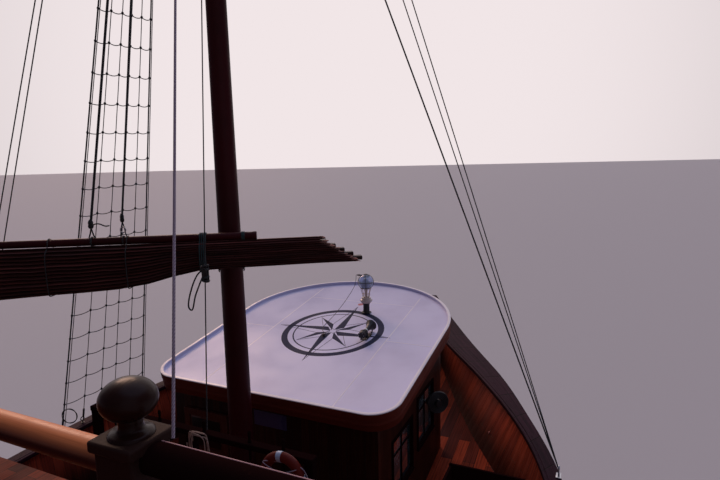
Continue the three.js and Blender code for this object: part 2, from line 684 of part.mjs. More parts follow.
add("lower_front_door", doorX(LOWER.fore, 1, LOWER_DOOR_Y, foreDoorFoot, FORE_HIGH), "varnish");
add("lower_aft_door", doorX(LOWER.aft, -1, AFT_DOOR_Y, LOWER.foot + DOOR.sill), "varnish");
add("upper_port_door", doorY(UPPER.half, 1, UPPER_DOOR_X, UPPER.foot + DOOR.sill), "varnish");
add("upper_starboard_door", doorY(-UPPER.half, -1, UPPER_DOOR_X, UPPER.foot + DOOR.sill), "varnish");
add("upper_aft_door", doorX(UPPER.aft, -1, LOWER_DOOR_Y, UPPER.foot + DOOR.sill), "varnish");

// Decks, with holes where the masts pass.

const MAST_HOLE = 0.3;
const MAST_SUNK = 0.3;

// Radius of a mast's taper, which starts below the deck that it stands on.
function mastRadius(mast, z) {
  const start = mast.foot - MAST_SUNK;
  return mast.low + ((mast.high - mast.low) * (z - start)) / (mast.top - start);
}

function mastHoles(from, to) {
  const through = MASTS.filter((mast) => mast.foot < from && mast.x < 8);
  return through.map((mast) => rod([mast.x, 0, from - BEYOND], [mast.x, 0, to + BEYOND], MAST_HOLE, 16));
}

// A plate of any outline in the XY plane, less the mast holes.
function deckPlate(outline, under, top) {
  const shape = new THREE.Shape(outline.map(([x, y]) => new THREE.Vector2(x * M, y * M)));
  const geometry = new THREE.ExtrudeGeometry(shape, { depth: (top - under) * M, bevelEnabled: false });
  geometry.translate(0, 0, under * M);
  return mastHoles(under, top).reduce((rest, hole) => rest.subtract(hole), solid(geometry));
}

// The port edge of a deck, from aft to fore, and its mirror image to starboard, as one outline.
function bothEdges(port) {
  return [...port.map(([x, y]) => [x, -y]), ...port.slice().reverse()];
}

add(
  "upper_deck",
  deckPlate(
    bothEdges([
      [UPPER_DECK.aft, UPPER_DECK.sternHalf],
      [UPPER_DECK_STEPS.sternFrom, UPPER_DECK.sternHalf],
      [UPPER_DECK_STEPS.sternFrom, UPPER_DECK.half],
      [UPPER_DECK_STEPS.foreFrom, UPPER_DECK.half],
      [UPPER_DECK.fore, UPPER_DECK.foreHalf],
    ]),
    UPPER_DECK.under,
    UPPER_DECK.top,
  ),
  "deck",
);
add(
  "sundeck",
  deckPlate(
    bothEdges([
      [SUNDECK.aft, SUNDECK.half],
      [SUNDECK.wingFrom, SUNDECK.half],
      [SUNDECK.wingFrom, SUNDECK.wingHalf],
      [SUNDECK.fore, SUNDECK.wingHalf],
    ]),
    SUNDECK.under,
    SUNDECK.top,
  ),
  "deck",
);

// Balustrades: posts with a round top rail and two thin rails, joined to one solid. A corner's third
// value lowers the top rail of the span that starts there, and such a corner stands in another post.

const RAIL = {
  height: 0.95,
  round: 0.04,
  foot: 0.1,
  middle: 0.52,
  thin: 0.028,
  post: 0.1,
  between: 0.06,
  pitch: 2.2,
};

function balustrade(corners, z) {
  const bodies = [];
  for (let k = 0; k + 1 < corners.length; k += 1) {
    const [ax, ay, drop = 0] = corners[k];
    const [bx, by] = corners[k + 1];
    const span = Math.hypot(bx - ax, by - ay);
    const bar = (height, radius, sides) => rod([ax, ay, z + height], [bx, by, z + height], radius, sides);
    bodies.push(bar(RAIL.height - RAIL.round - drop, RAIL.round, 8));
    bodies.push(bar(RAIL.foot, RAIL.thin, 4), bar(RAIL.middle, RAIL.thin, 4));
    const bays = Math.max(1, Math.round(span / RAIL.pitch));
    for (let j = 1; j < bays; j += 1) {
      const [x, y] = [ax + ((bx - ax) * j) / bays, ay + ((by - ay) * j) / bays];
      const h = RAIL.between / 2;
      bodies.push(box(x - h, x + h, y - h, y + h, z + GAP, z + RAIL.height - RAIL.round));
    }
  }
  for (const [x, y] of corners.filter((corner) => corner.length === 2)) {
    const h = RAIL.post / 2;
    bodies.push(box(x - h, x + h, y - h, y + h, z + GAP, z + RAIL.height + 0.02));
  }
  return join(bodies);
}

const RAIL_INSET = 0.1;
const sunFore = 3.85;
const sunAft = SUNDECK.aft + RAIL_INSET;
const sunSide = SUNDECK.half - RAIL_INSET;
const wingSide = SUNDECK.wingHalf - RAIL_INSET;
const wingAft = SUNDECK.wingFrom + RAIL_INSET;
const NEWEL = { x: sunFore, y: -3.17, half: 0.062, cap: 0.072, ball: 0.07, neck: 0.036, squash: 0.76 };
const FORE_DROP = 0.032;

function newel() {
  const top = SUNDECK.top + RAIL.height + 0.01;
  const { x, y } = NEWEL;
  const square = (half, from, to) => box(x - half, x + half, y - half, y + half, from, to);
  const ball = new THREE.SphereGeometry(NEWEL.ball * M, 14, 10);
  ball.scale(1, 1, NEWEL.squash);
  ball.translate(x * M, y * M, (top + NEWEL.neck + NEWEL.ball * NEWEL.squash) * M);
  return join([
    square(NEWEL.half, SUNDECK.top + GAP, top),
    square(NEWEL.cap, top - 0.03, top),
    rod([x, y, top - 0.01], [x, y, top + 0.07], 0.034, 12, 0.026),
    solid(ball),
  ]);
}

const SUN_STAIR = { y0: 1.6, y1: 2.4, reach: 1.8, steps: 9 };
add(
  "sundeck_balustrade",
  join([
    balustrade(
      [
        [sunAft, SUN_STAIR.y0 - RAIL.post],
        [sunAft, -sunSide],
        [wingAft, -sunSide],
        [wingAft, -wingSide],
        [sunFore, -wingSide],
        [NEWEL.x, NEWEL.y, FORE_DROP],
        [sunFore, wingSide],
        [wingAft, wingSide],
        [wingAft, sunSide],
        [sunAft, sunSide],
        [sunAft, SUN_STAIR.y1 + RAIL.post],
      ],
      SUNDECK.top,
    ),
    newel(),
  ]),
  "maroon",
);

const upSide = UPPER_DECK.half - RAIL_INSET;
const upFore = UPPER_DECK.foreHalf - RAIL_INSET;
const upStern = UPPER_DECK.sternHalf - RAIL_INSET;
const upAft = UPPER_DECK.aft + RAIL_INSET;
const upStep = UPPER_DECK_STEPS.sternFrom + RAIL_INSET;
// The screen closes the starboard gallery at its head, where the stair goes down.
const SCREEN = { x: 7.0, aft: 6.35, y1: -3.0, top: 5.49, thick: 0.06 };
add(
  "upper_deck_balustrade",
  join([
    balustrade(
      [
        [SCREEN.x, -upFore],
        [UPPER_DECK_STEPS.foreFrom, -upSide],
        [upStep, -upSide],
        [upStep, -upStern],
        [upAft, -upStern],
        [upAft, upStern],
        [upStep, upStern],
        [upStep, upSide],
        [UPPER_DECK_STEPS.foreFrom, upSide],
        [SCREEN.x, upFore],
      ],
      UPPER_DECK.top,
    ),
    box(SCREEN.x, SCREEN.x + SCREEN.thick, -upFore, SCREEN.y1, UPPER_DECK.top + GAP, SCREEN.top),
    box(SCREEN.aft, SCREEN.x + 0.01, SCREEN.y1 - SCREEN.thick, SCREEN.y1, UPPER_DECK.top + GAP, SCREEN.top),
  ]),
  "maroon",
);

// The pin rail ahead of the upper cabin.
const PIN_RAIL = { x: 6.95, y0: -1.85, y1: 1.15, top: 5.27 };
const PIN_RAIL_POSTS = [PIN_RAIL.y0 + 0.05, -0.35, PIN_RAIL.y1 - 0.05];
const PINS = [-1.5, -1.1, -0.52, 0.1, 0.45, 0.8];

function pinRail() {
  const { x, y0, y1, top } = PIN_RAIL;
  const post = (y) => box(x - 0.04, x + 0.04, y - 0.05, y + 0.05, UPPER_DECK.top + GAP, top - 0.03);
  const pin = (y) => rod([x, y, top - 0.2], [x, y, top + 0.12], 0.015, 6);
  const beam = box(x - 0.05, x + 0.05, y0, y1, top - 0.06, top);
  return join([beam, ...PIN_RAIL_POSTS.map(post), ...PINS.map(pin)]);
}

add("pin_rail", pinRail(), "maroon");

// A hank of the halyard's tail, hung on the pin rail's after side.
const HANK = { y: -0.52, half: 0.12, round: 0.05, foot: 5.05, high: 0.25, thick: 0.07 };

function hankSolid() {
  const side = (HANK.half - HANK.round) * M;
  const crown = (HANK.high - HANK.round) * M;
  const round = HANK.round * M;
  const shape = new THREE.Shape();
  shape.moveTo(-side, 0);
  shape.absarc(side, round, round, -Math.PI / 2, 0);
  shape.absarc(side, crown, round, 0, Math.PI / 2);
  shape.absarc(-side, crown, round, Math.PI / 2, Math.PI);
  shape.absarc(-side, round, round, Math.PI, 1.5 * Math.PI);
  const geometry = new THREE.ExtrudeGeometry(shape, {
    depth: HANK.thick * M,
    bevelEnabled: false,
    curveSegments: 5,
  });
  geometry.rotateX(Math.PI / 2);
  geometry.rotateZ(Math.PI / 2);
  geometry.translate((PIN_RAIL.x - 0.05 - HANK.thick - GAP) * M, HANK.y * M, HANK.foot * M);
  return solid(geometry);
}

add("halyard_hank", hankSolid(), "rope");

// Stairs: two stringers and treads, joined.
const STRINGER = { thick: 0.05, deep: 0.24 };
const TREAD = { deep: 0.2, half: 0.02 };

function stair(x0, z0, x1, z1, y0, y1, steps) {
  const way = Math.sign(x1 - x0);
  const reach = way * STRINGER.deep;
  const outline = [[x0, z0], [x0 + reach, z0], [x1, z1], [x1 - reach, z1]];
  const bodies = [y0, y1 - STRINGER.thick].map((y) => slabY(outline, y, y + STRINGER.thick));
  for (let k = 0; k < steps; k += 1) {
    const x = x0 + (x1 - reach - x0) * ((k + 0.5) / steps) + reach / 2;
    const z = z0 + (z1 - z0) * ((k + 0.5) / steps);
    const h = TREAD.deep / 2;
    bodies.push(box(x - h, x + h, y0 + 0.01, y1 - 0.01, z - TREAD.half, z + TREAD.half));
  }
  return join(bodies);
}

const FORE_STAIR = { fore: 8.4, foot: 2.25, y0: -2.75, y1: -2.05, steps: 7 };
add(
  "foredeck_stair",
  stair(
    UPPER_DECK.fore + GAP,
    UPPER_DECK.top,
    FORE_STAIR.fore,
    FORE_STAIR.foot,
    FORE_STAIR.y0,
    FORE_STAIR.y1,
    FORE_STAIR.steps,
  ).subtract(clearOfHull),
  "maroon",
);
add(
  "sundeck_stair",
  stair(
    SUNDECK.aft - GAP,
    SUNDECK.top,
    SUNDECK.aft - SUN_STAIR.reach,
    UPPER_DECK.top + GAP,
    SUN_STAIR.y0,
    SUN_STAIR.y1,
    SUN_STAIR.steps,
  ),
  "maroon",
);

// Masts.

// A collar closes each hole in the topmost deck that the mast passes.
for (const mast of MASTS) {
  const bodies = [
    rod([mast.x, 0, mast.foot - MAST_SUNK], [mast.x, 0, mast.top], mast.low, 16, mast.high),
    rod([mast.x, 0, mast.top - 0.02], [mast.x, 0, mast.top + 0.08], mast.high + 0.05, 12),
  ];
  if (mast.collar) {
    bodies.push(rod([mast.x, 0, mast.collar + GAP], [mast.x, 0, mast.collar + 0.09], MAST_HOLE + 0.06, 16));
  }
  add(mast.name, join(bodies).subtract(clearOfHull), "maroon");
}

// Sails, each in a group that stands on its mast's axis.

function sailParts(sail) {
  const mast = MASTS[sail.mast];
  const near = -(mastRadius(mast, sail.tuck) + PARREL.thick);
  const battens = [];
  for (let k = 0; k < BATTENS; k += 1) {
    const z = sail.tuck - 0.02 + k * BATTEN.step;
    const reach = sail.luff + (BATTENS - 1 - k) * BATTEN.reach;
    const [y0, y1] = [near - BATTEN.wide, near];
    battens.push(box(-sail.leech - 0.05, reach, y0, y1, z, z + BATTEN.high));
  }
  for (const z of [sail.tuck, sail.tuck + 3 * BATTEN.step]) {
    const inner = (mastRadius(mast, z) + PARREL.clear) / Math.cos(Math.PI / PARREL.sides);
    const collar = (radius, low, high) => rod([0, 0, low], [0, 0, high], radius, PARREL.sides);
    const outer = collar(inner + 2 * PARREL.thick, z, z + 2 * PARREL.thick);
    battens.push(outer.subtract(collar(inner, z - BEYOND, z + BEYOND)));
  }
  const yNear = near - BATTEN.wide - GAP;
  const yFar = yNear - CLOTH_WIDE;
  const section = (x, foot, top, wide) => {
    const far = yNear - wide * CLOTH_WIDE;
    const mid = (yNear + far) / 2;
    return [
      [x, yNear, foot + 0.05],
      [x, yNear, top - 0.05],
      [x, mid + 0.03, top],
      [x, mid - 0.03, top],
      [x, far, top - 0.1 * (top - foot) - 0.03],
      [x, far, foot + 0.1 * (top - foot) + 0.03],
      [x, mid, foot],
    ];
  };
  const drop = sail.tuck - sail.foot;
  const cloth = loft([
    section(sail.luff, sail.tuck + 0.02, sail.top - 0.06, 0.6),
    section(0, sail.tuck, sail.top, 0.9),
    section(-0.35 * sail.leech, sail.tuck - 0.65 * drop, sail.top, 1),
    section(-0.65 * sail.leech, sail.foot, sail.top, 1),
    section(-sail.leech, sail.foot + 0.05, sail.top - 0.02, 0.8),
  ]);
  const yardY = (yNear + 0.05 * CLOTH_WIDE + yFar) / 2;
  const yardZ = sail.top + 0.985 * YARD_RADIUS + GAP;
  const [yardFore, yardAft] = [sail.yard[0], -sail.yard[1]].map((x) => [x, yardY, yardZ]);
  const yard = rod(yardFore, yardAft, YARD_RADIUS, 10, YARD_RADIUS * 0.8);
  return { battens: join(battens), cloth, yard };
}

for (const sail of SAILS) {
  const group = new THREE.Group();
  group.position.set(MASTS[sail.mast].x * M, 0, 0);
  group.rotation.z = sail.yaw;
  const parts = sailParts(sail);
  add(`${sail.name}_battens`, parts.battens, "maroon", group);
  add(`${sail.name}_sail`, parts.cloth, "cloth", group);
  add(`${sail.name}_yard`, parts.yard, "maroon", group);
  junk.add(group);
}

// Rudder and propeller.

add(
  "rudder",
  join([
    box(RUDDER.aft, RUDDER.fore, -RUDDER.thick / 2, RUDDER.thick / 2, RUDDER.foot, RUDDER.top),
    rod([RUDDER.x, 0, RUDDER.top - 0.5], [RUDDER.x, 0, 2.6], RUDDER.stock, 12),
    box(RUDDER.x - 0.04, RUDDER.x + 0.9, -0.04, 0.04, 2.5, 2.58),
  ]),
  "iron",
);

function propeller() {
  const [hubAft, hubFore] = [PROPELLER.x - PROPELLER.hubHalf, PROPELLER.x + PROPELLER.hubHalf];
  const hub = rod([hubAft, 0, PROPELLER.z], [hubFore, 0, PROPELLER.z], PROPELLER.hub, 12);
  const bodies = [hub];
  for (let k = 0; k < PROPELLER.blades; k += 1) {
    const blade = new THREE.CylinderGeometry(0.2 * M, 0.2 * M, 0.03 * M, 14);
    blade.rotateX(Math.PI / 2);
    blade.scale(0.9, 1.4, 1);
    blade.translate(0, (PROPELLER.radius - 0.28) * M, 0);
    blade.rotateY(Math.PI / 2 - 35 * DEG);
    blade.rotateX((k * 2 * Math.PI) / PROPELLER.blades);
    blade.translate(PROPELLER.x * M, 0, PROPELLER.z * M);
    bodies.push(solid(blade));
  }
  return join(bodies);
}

add("propeller", propeller(), "bronze");

// Foredeck gear ahead of the house.

const HATCH = { aft: 13.0, fore: 13.7, half: 0.42, high: 0.28 };
const HATCH_PLAY = 0.006;
const hatchZ = deckZ(HATCH.fore) + HATCH.high;

// A box over the hatch, wider than its outline by a margin.
function overHatch(margin, from, to) {
  const half = HATCH.half + margin;
  return box(HATCH.aft - margin, HATCH.fore + margin, -half, half, from, to);
}

const hatchPad = (y) =>
  box(HATCH.aft, HATCH.aft + 0.05, y, y + 0.12, hatchZ - 0.01, hatchZ + HATCH_PLAY - GAP);
add(
  "hatch_coaming",
  overHatch(0, deckZ(HATCH.aft) - 0.2, hatchZ)
    .subtract(overHatch(-0.06, 0, hatchZ + BEYOND))
    .add(join([-0.3, 0.18].map(hatchPad)))
    .subtract(clearOfHull),
  "bulwark",
);
add("hatch_lid", overHatch(0.02, hatchZ + HATCH_PLAY, hatchZ + HATCH_PLAY + 0.05), "deck");

const WINDLASS = { x: 14.35, z: deckZ(14.35) + 0.42, half: 0.5, radius: 0.11 };
add(
  "windlass_frame",
  join([
    box(WINDLASS.x - 0.1, WINDLASS.x + 0.1, -WINDLASS.half, -WINDLASS.half + 0.07, 2.8, WINDLASS.z + 0.12),
    box(WINDLASS.x - 0.1, WINDLASS.x + 0.1, WINDLASS.half - 0.07, WINDLASS.half, 2.8, WINDLASS.z + 0.12),
    box(WINDLASS.x - 0.1, WINDLASS.x + 0.1, -WINDLASS.half, WINDLASS.half, 3.24, 3.32),
  ]).subtract(clearOfHull),
  "iron",
);
add(
  "windlass_drum",
  join([
    rod([WINDLASS.x, -0.41, WINDLASS.z], [WINDLASS.x, 0.41, WINDLASS.z], WINDLASS.radius, 16),
    rod([WINDLASS.x, GAP - 0.43, WINDLASS.z], [WINDLASS.x, 0.43 - GAP, WINDLASS.z], 0.05, 16),
    rod([WINDLASS.x, -0.36, WINDLASS.z], [WINDLASS.x, -0.32, WINDLASS.z], 0.17, 16),
    rod([WINDLASS.x, 0.32, WINDLASS.z], [WINDLASS.x, 0.36, WINDLASS.z], 0.17, 16),
  ]),
  "iron",
);

// Each anchor hangs outside the bow with its shank against the cap rail.
const ANCHOR = {
  x: 14.4,
  shank: 0.04,
  top: 4.28,
  crown: 3.07,
  arm: 0.34,
  rise: 0.26,
  stock: 0.3,
  yaw: 32 * DEG,
};
for (const [name, side] of [["anchor_port", 1], ["anchor_starboard", -1]]) {
  const x = ANCHOR.x;
  const y = side * (capHalf(x) + ANCHOR.shank);
  const [alongX, alongY] = [Math.cos(ANCHOR.yaw), -side * Math.sin(ANCHOR.yaw)];
  const arm = (way) => {
    const tip = [x + way * ANCHOR.arm * alongX, y + way * ANCHOR.arm * alongY, ANCHOR.crown + ANCHOR.rise];
    return rod(tip, [x, y, ANCHOR.crown], 0.045, 8);
  };
  const stockZ = ANCHOR.top - 0.06;
  const stockEnd = [x - alongY * side * ANCHOR.stock, y + alongX * side * ANCHOR.stock, stockZ];
  add(
    name,
    join([
      rod([x, y, ANCHOR.crown], [x, y, ANCHOR.top], ANCHOR.shank, 8),
      arm(1),
      arm(-1),
      rod([x, y, stockZ], stockEnd, 0.025, 8),
      ring([x, y, ANCHOR.top - 0.01], 0.055, 0.015, "y", 12),
    ])
      .subtract(clearOfRail(side * GAP, GAP))
      .subtract(clearOfRail(side * GAP, -GAP)),
    "iron",
  );
}

const LIFE_RING = { y: -1.55, z: 5.075, radius: 0.195, thick: 0.05 };
add(
  "life_ring",
  ring(
    [PIN_RAIL.x - 0.05 - LIFE_RING.thick * Math.sin(Math.PI / 3) - GAP, LIFE_RING.y, LIFE_RING.z],
    LIFE_RING.radius,
    LIFE_RING.thick,
    "x",
    24,
  ),
  "ring",
);

// Main stays and shrouds: bars that meet in a band round each mast below its head.
// feet: place along the ship and side of each shroud's foot on the cap rail.
const RIGGING = [
  {
    name: "fore_rigging",
    mast: 0,
    radius: 0.012,
    feet: [[10.2, -1], [8.6, 1], [10.1, 1], [7.0, 1]],
  },
  { name: "main_rigging", mast: 1, radius: 0.014, feet: [[-1.2, -1], [-2.0, -1], [-1.2, 1], [-2.0, 1]] },
  { name: "mizzen_rigging", mast: 2, radius: 0.01, feet: [[-11.2, -1], [-11.2, 1]] },
];
const HOUNDS = 0.6;
const BAND = { high: 0.05, wide: 0.05, play: 0.0005 };
const INBOARD = 0.12;

for (const rig of RIGGING) {
  const mast = MASTS[rig.mast];
  const z = mast.top - HOUNDS;
  const inner = mastRadius(mast, z - BAND.high) + BAND.play;
  const feet = rig.feet.map(([x, side]) => [x, side * (capHalf(x) - INBOARD), railUnder(x) + 0.02]);
  const lines = feet.map((foot) => {
    const toFoot = new THREE.Vector2(foot[0] - mast.x, foot[1]).setLength(inner + 0.6 * BAND.wide);
    return rod(foot, [mast.x + toFoot.x, toFoot.y, z], rig.radius, 6);
  });
  const band = rod([mast.x, 0, z - BAND.high], [mast.x, 0, z + BAND.high], inner + BAND.wide, 16);
  const bore = rod([mast.x, 0, z - BEYOND], [mast.x, 0, z + BEYOND], inner, 16);
  add(rig.name, join([...lines, band]).subtract(bore).subtract(clearOfRail(0, GAP)), "tarred");
}

export default junk;
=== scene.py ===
"""The looks of a Chinese junk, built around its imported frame.

The bodies, joints and main solids come from the frame. This script gives them their surfaces:
planking, varnish, turned balusters, folded sailcloth, laid rope and the gear on the roof.
All lengths are metres in the ship's frame: X to the bow, Y to port, Z up from the waterline.
"""
import logging
import math
from dataclasses import dataclass, replace
from enum import Enum
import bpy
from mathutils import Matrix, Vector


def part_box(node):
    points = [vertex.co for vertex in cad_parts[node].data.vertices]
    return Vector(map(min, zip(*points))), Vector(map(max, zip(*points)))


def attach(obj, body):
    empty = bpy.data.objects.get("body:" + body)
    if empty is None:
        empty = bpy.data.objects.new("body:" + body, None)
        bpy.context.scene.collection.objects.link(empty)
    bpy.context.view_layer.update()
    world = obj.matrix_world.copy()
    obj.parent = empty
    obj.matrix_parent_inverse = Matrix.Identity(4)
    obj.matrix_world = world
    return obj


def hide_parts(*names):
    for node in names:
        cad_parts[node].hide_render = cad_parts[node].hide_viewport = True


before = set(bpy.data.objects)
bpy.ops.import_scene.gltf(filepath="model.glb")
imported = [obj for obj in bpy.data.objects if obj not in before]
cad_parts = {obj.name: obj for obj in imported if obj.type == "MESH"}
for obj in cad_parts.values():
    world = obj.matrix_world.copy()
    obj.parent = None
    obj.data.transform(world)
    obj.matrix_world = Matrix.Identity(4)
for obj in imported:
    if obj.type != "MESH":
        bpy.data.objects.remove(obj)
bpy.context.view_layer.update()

from types import SimpleNamespace
from typing import Callable, Sequence, Union

import bpy
import numpy as np
from mathutils import Matrix, Vector

LOG = logging.getLogger("junk")
Array = np.ndarray
Colour = tuple[float, float, float]
Point = Sequence[float]
Place = Callable[[Array], Array]
Socket = bpy.types.NodeSocket
Value = Union[Socket, float, Sequence[float]]
TURN = 2.0 * math.pi
SIDES = (1, -1)


class Body(Enum):
    """The frame's bodies, by what they are on the ship."""

    HULL = "hull_body"
    FORE_SAIL = "fore_sail_body"
    MAIN_SAIL = "main_sail_body"
    MIZZEN_SAIL = "mizzen_sail_body"
    RUDDER = "rudder_body"
    PROPELLER = "propeller_body"
    WINDLASS_DRUM = "windlass_drum_body"
    HATCH_LID = "hatch_lid_body"
    HOUSE_DOOR = "house_door_body"
    LOWER_FRONT_DOOR = "lower_front_door_body"
    LOWER_AFT_DOOR = "lower_aft_door_body"
    UPPER_PORT_DOOR = "upper_port_door_body"
    UPPER_STARBOARD_DOOR = "upper_starboard_door_body"
    UPPER_AFT_DOOR = "upper_aft_door_body"


class Slot(Enum):
    """The record's material slots."""

    TOPSIDE = "topside"
    VARNISH = "varnish"
    BULWARK = "bulwark"
    DECK = "deck"
    WHITE = "white"
    MAROON = "maroon"
    SAILCLOTH = "sailcloth"
    ROPE = "rope"
    TARRED = "tarred"
    STEEL = "steel"
    BRONZE = "bronze"
    IRON = "iron"
    LIFEBUOY = "lifebuoy"
    CABLE = "cable"


class Run(Enum):
    """How boards lie: the axis they run along, then the axis across them."""

    FORE_AND_AFT = ("x", "y")
    UPRIGHT_ON_SIDES = ("z", "x")
    UPRIGHT_ON_ENDS = ("z", "y")
    ALONG_MESH = ("u", "v")


# Hull lines. Each row: station x; half-breadth and height of keel, bilge, chine, deck and cap.
STATIONS = np.array([
    [-16, 0.22, 0.5, 1.3, 0.62, 2.85, 1.15, 3.38, 2.5, 3.6, 3.95],
    [-15.2, 0.22, 0.25, 1.4, 0.38, 3, 0.98, 3.52, 2.38, 3.75, 3.82],
    [-13.5, 0.22, -0.12, 1.65, 0.08, 3.3, 0.78, 3.82, 2.14, 4.02, 3.52],
    [-11.5, 0.22, -0.5, 2, -0.22, 3.65, 0.48, 4.12, 2, 4.3, 3.25],
    [-10, 0.25, -1.25, 2.5, -0.75, 3.9, 0.2, 4.3, 2, 4.46, 3.12],
    [-8, 0.25, -1.8, 2.9, -1.1, 4.15, 0, 4.48, 2, 4.63, 3.02],
    [-5, 0.25, -1.95, 3.25, -1.3, 4.35, -0.1, 4.6, 2, 4.75, 2.96],
    [0, 0.25, -1.95, 3.35, -1.35, 4.4, -0.1, 4.65, 2, 4.8, 2.95],
    [4, 0.25, -1.9, 3.2, -1.3, 4.3, 0, 4.58, 2, 4.75, 3.03],
    [7.5, 0.25, -1.75, 2.8, -1.2, 3.95, 0.1, 4.3, 2.23, 4.5, 3.33],
    [10.1, 0.25, -1.35, 2.1, -0.85, 3.2, 0.35, 3.66, 2.58, 3.88, 3.69],
    [12.4, 0.25, -0.6, 1.2, -0.2, 1.98, 0.95, 2.46, 2.93, 2.68, 4.02],
    [14, 0.25, 0.45, 0.7, 0.78, 1.15, 1.6, 1.43, 3.16, 1.62, 4.25],
    [15, 0.25, 1.3, 0.45, 1.5, 0.68, 2.2, 0.83, 3.31, 0.98, 4.4],
    [16, 0.2, 2.4, 0.24, 2.55, 0.28, 2.85, 0.31, 3.45, 0.4, 4.54],
])
COLUMN = {"keel": 1, "bilge": 3, "chine": 5, "deck": 7, "cap": 9}
STERN_X, BOW_X = -16.0, 16.0
SOLID_STATIONS = 30
RAIL_THICK = 0.075
RAIL_OVERHANG = 0.05
BULWARK_THICK = 0.09
HAIR = 0.0004
PER_BOARD = 6


def lerp(a: Array, b: Array, share: Array) -> Array:
    """From a at share 0 to b at share 1."""
    return (1 - share) * a + share * b


def line(name: str, x: Array, part: int = 0) -> Array:
    """One hull line at stations x: a cubic whose slope at a station is the harmonic mean of its neighbours'.

    Args:
        name: A key of COLUMN.
        x: Stations, of any shape.
        part: 0 for the half-breadth, 1 for the height.

    Returns:
        The line's values, in the shape of x.
    """
    at, values = STATIONS[:, 0], STATIONS[:, COLUMN[name] + part]
    slopes = np.diff(values) / np.diff(at)
    before, after = slopes[:-1], slopes[1:]
    total = np.where(before + after == 0.0, 1.0, before + after)
    inner = np.where(before * after <= 0.0, 0.0, 2.0 * before * after / total)
    tangents = np.concatenate([slopes[:1], inner, slopes[-1:]])
    k = np.clip(np.searchsorted(at, x, side="right") - 1, 0, len(at) - 2)
    span = at[k + 1] - at[k]
    t = (np.asarray(x) - at[k]) / span
    return (
        (2 * t**3 - 3 * t**2 + 1) * values[k]
        + (t**3 - 2 * t**2 + t) * span * tangents[k]
        + (3 * t**2 - 2 * t**3) * values[k + 1]
        + (t**3 - t**2) * span * tangents[k + 1]
    )


def unit(vectors: Array) -> Array:
    """Vectors at length one."""
    return vectors / np.maximum(np.linalg.norm(vectors, axis=-1, keepdims=True), 1e-12)


def stack(*parts: Array) -> Array:
    """Coordinates broadcast together and stacked into points."""
    return np.stack(np.broadcast_arrays(*parts), axis=-1).astype(float)


def edge(name: str, x: Array) -> Array:
    """Points of a port hull line at stations x."""
    return stack(x, line(name, x), line(name, x, 1))


def mm(*numbers: float, size: int = 2) -> Array:
    """Pairs or triples given in millimetres, in metres: a profile's radii and heights, or points."""
    return np.array(numbers, dtype=float).reshape(-1, size) / 1000.0


def turns(count: int) -> Array:
    """Angles round a full turn in even steps."""
    return np.linspace(0.0, TURN, count, endpoint=False)


def compass(angle: float, plane: str = "xy") -> Array:
    """The unit vector at an angle in the plane of two axes."""
    way = np.zeros(3)
    way[["xyz".index(axis) for axis in plane]] = math.cos(angle), math.sin(angle)
    return way


def hoop(centre: Point, radius: float, plane: str = "xy", count: int = 36) -> Array:
    """Points of a circle round a centre, in the plane of two axes."""
    return np.asarray(centre, dtype=float) + radius * np.stack([compass(a, plane) for a in turns(count)])


def evenly(path: Array, count: int) -> Array:
    """The same path at points evenly spaced along its length."""
    along = np.concatenate([[0.0], np.cumsum(np.linalg.norm(np.diff(path, axis=0), axis=1))])
    at = np.linspace(0.0, along[-1], count)
    return np.stack([np.interp(at, along, path[:, axis]) for axis in range(3)], axis=-1)


def spline(points: Sequence[Point], count: int, closed: bool = False) -> Array:
    """A centripetal Catmull-Rom curve: its knots lie at the square roots of the chords' lengths.

    Args:
        points: Points that it passes.
        count: Samples along it, evenly spaced in length.
        closed: Whether the last point joins the first.

    Returns:
        The samples, count by 3.
    """
    p = np.asarray(points, dtype=float)
    p = np.vstack([p[-1], p, p[0], p[1]] if closed else [2 * p[0] - p[1], p, 2 * p[-1] - p[-2]])
    knots = np.concatenate([[0.0], np.cumsum(np.linalg.norm(np.diff(p, axis=0), axis=1) ** 0.5)])
    t = np.linspace(knots[1], knots[-2], 40 * len(p))
    k = np.clip(np.searchsorted(knots, t, side="right") - 1, 1, len(p) - 3)

    def blend(a: Array, b: Array, low: Array, high: Array) -> Array:
        """Both points, weighted by where t lies between two knots."""
        return lerp(a, b, ((t - low) / (high - low))[:, None])

    k0, k1, k2, k3 = (knots[k + step] for step in (-1, 0, 1, 2))
    p0, p1, p2, p3 = (p[k + step] for step in (-1, 0, 1, 2))
    a1, a2, a3 = blend(p0, p1, k0, k1), blend(p1, p2, k1, k2), blend(p2, p3, k2, k3)
    return evenly(blend(blend(a1, a2, k0, k2), blend(a2, a3, k1, k3), k1, k2), count)


def straight(start: Point, end: Point, count: int = 2, sag: float = 0.0) -> Array:
    """Points from start to end, hung in a parabola of that sag."""
    t = np.linspace(0.0, 1.0, count)[:, None]
    return lerp(np.asarray(start, dtype=float), np.asarray(end, dtype=float),
                t) - 4 * t * (1 - t) * (0, 0, sag)


def ring_frame(path: Array, closed: bool) -> tuple[Array, Array]:
    """Two unit vectors across a path at each point, kept from twisting by the way it runs along least."""
    tangent = unit(np.roll(path, -1, 0) - np.roll(path, 1, 0) if closed else np.gradient(path, axis=0))
    side = unit(np.cross(tangent, np.linalg.svd(tangent, full_matrices=False)[2][-1]))
    return side, np.cross(tangent, side)


def noise_1d(count: int, knots: int, seed: int) -> Array:
    """Smooth random values between -1 and 1: cosine steps between seeded knots."""
    values = np.random.default_rng(seed).uniform(-1.0, 1.0, knots + 2)
    t = np.linspace(0.0, knots, count)
    k = np.floor(t).astype(int)
    return lerp(values[k], values[k + 1], 0.5 - 0.5 * np.cos(np.pi * (t - k)))


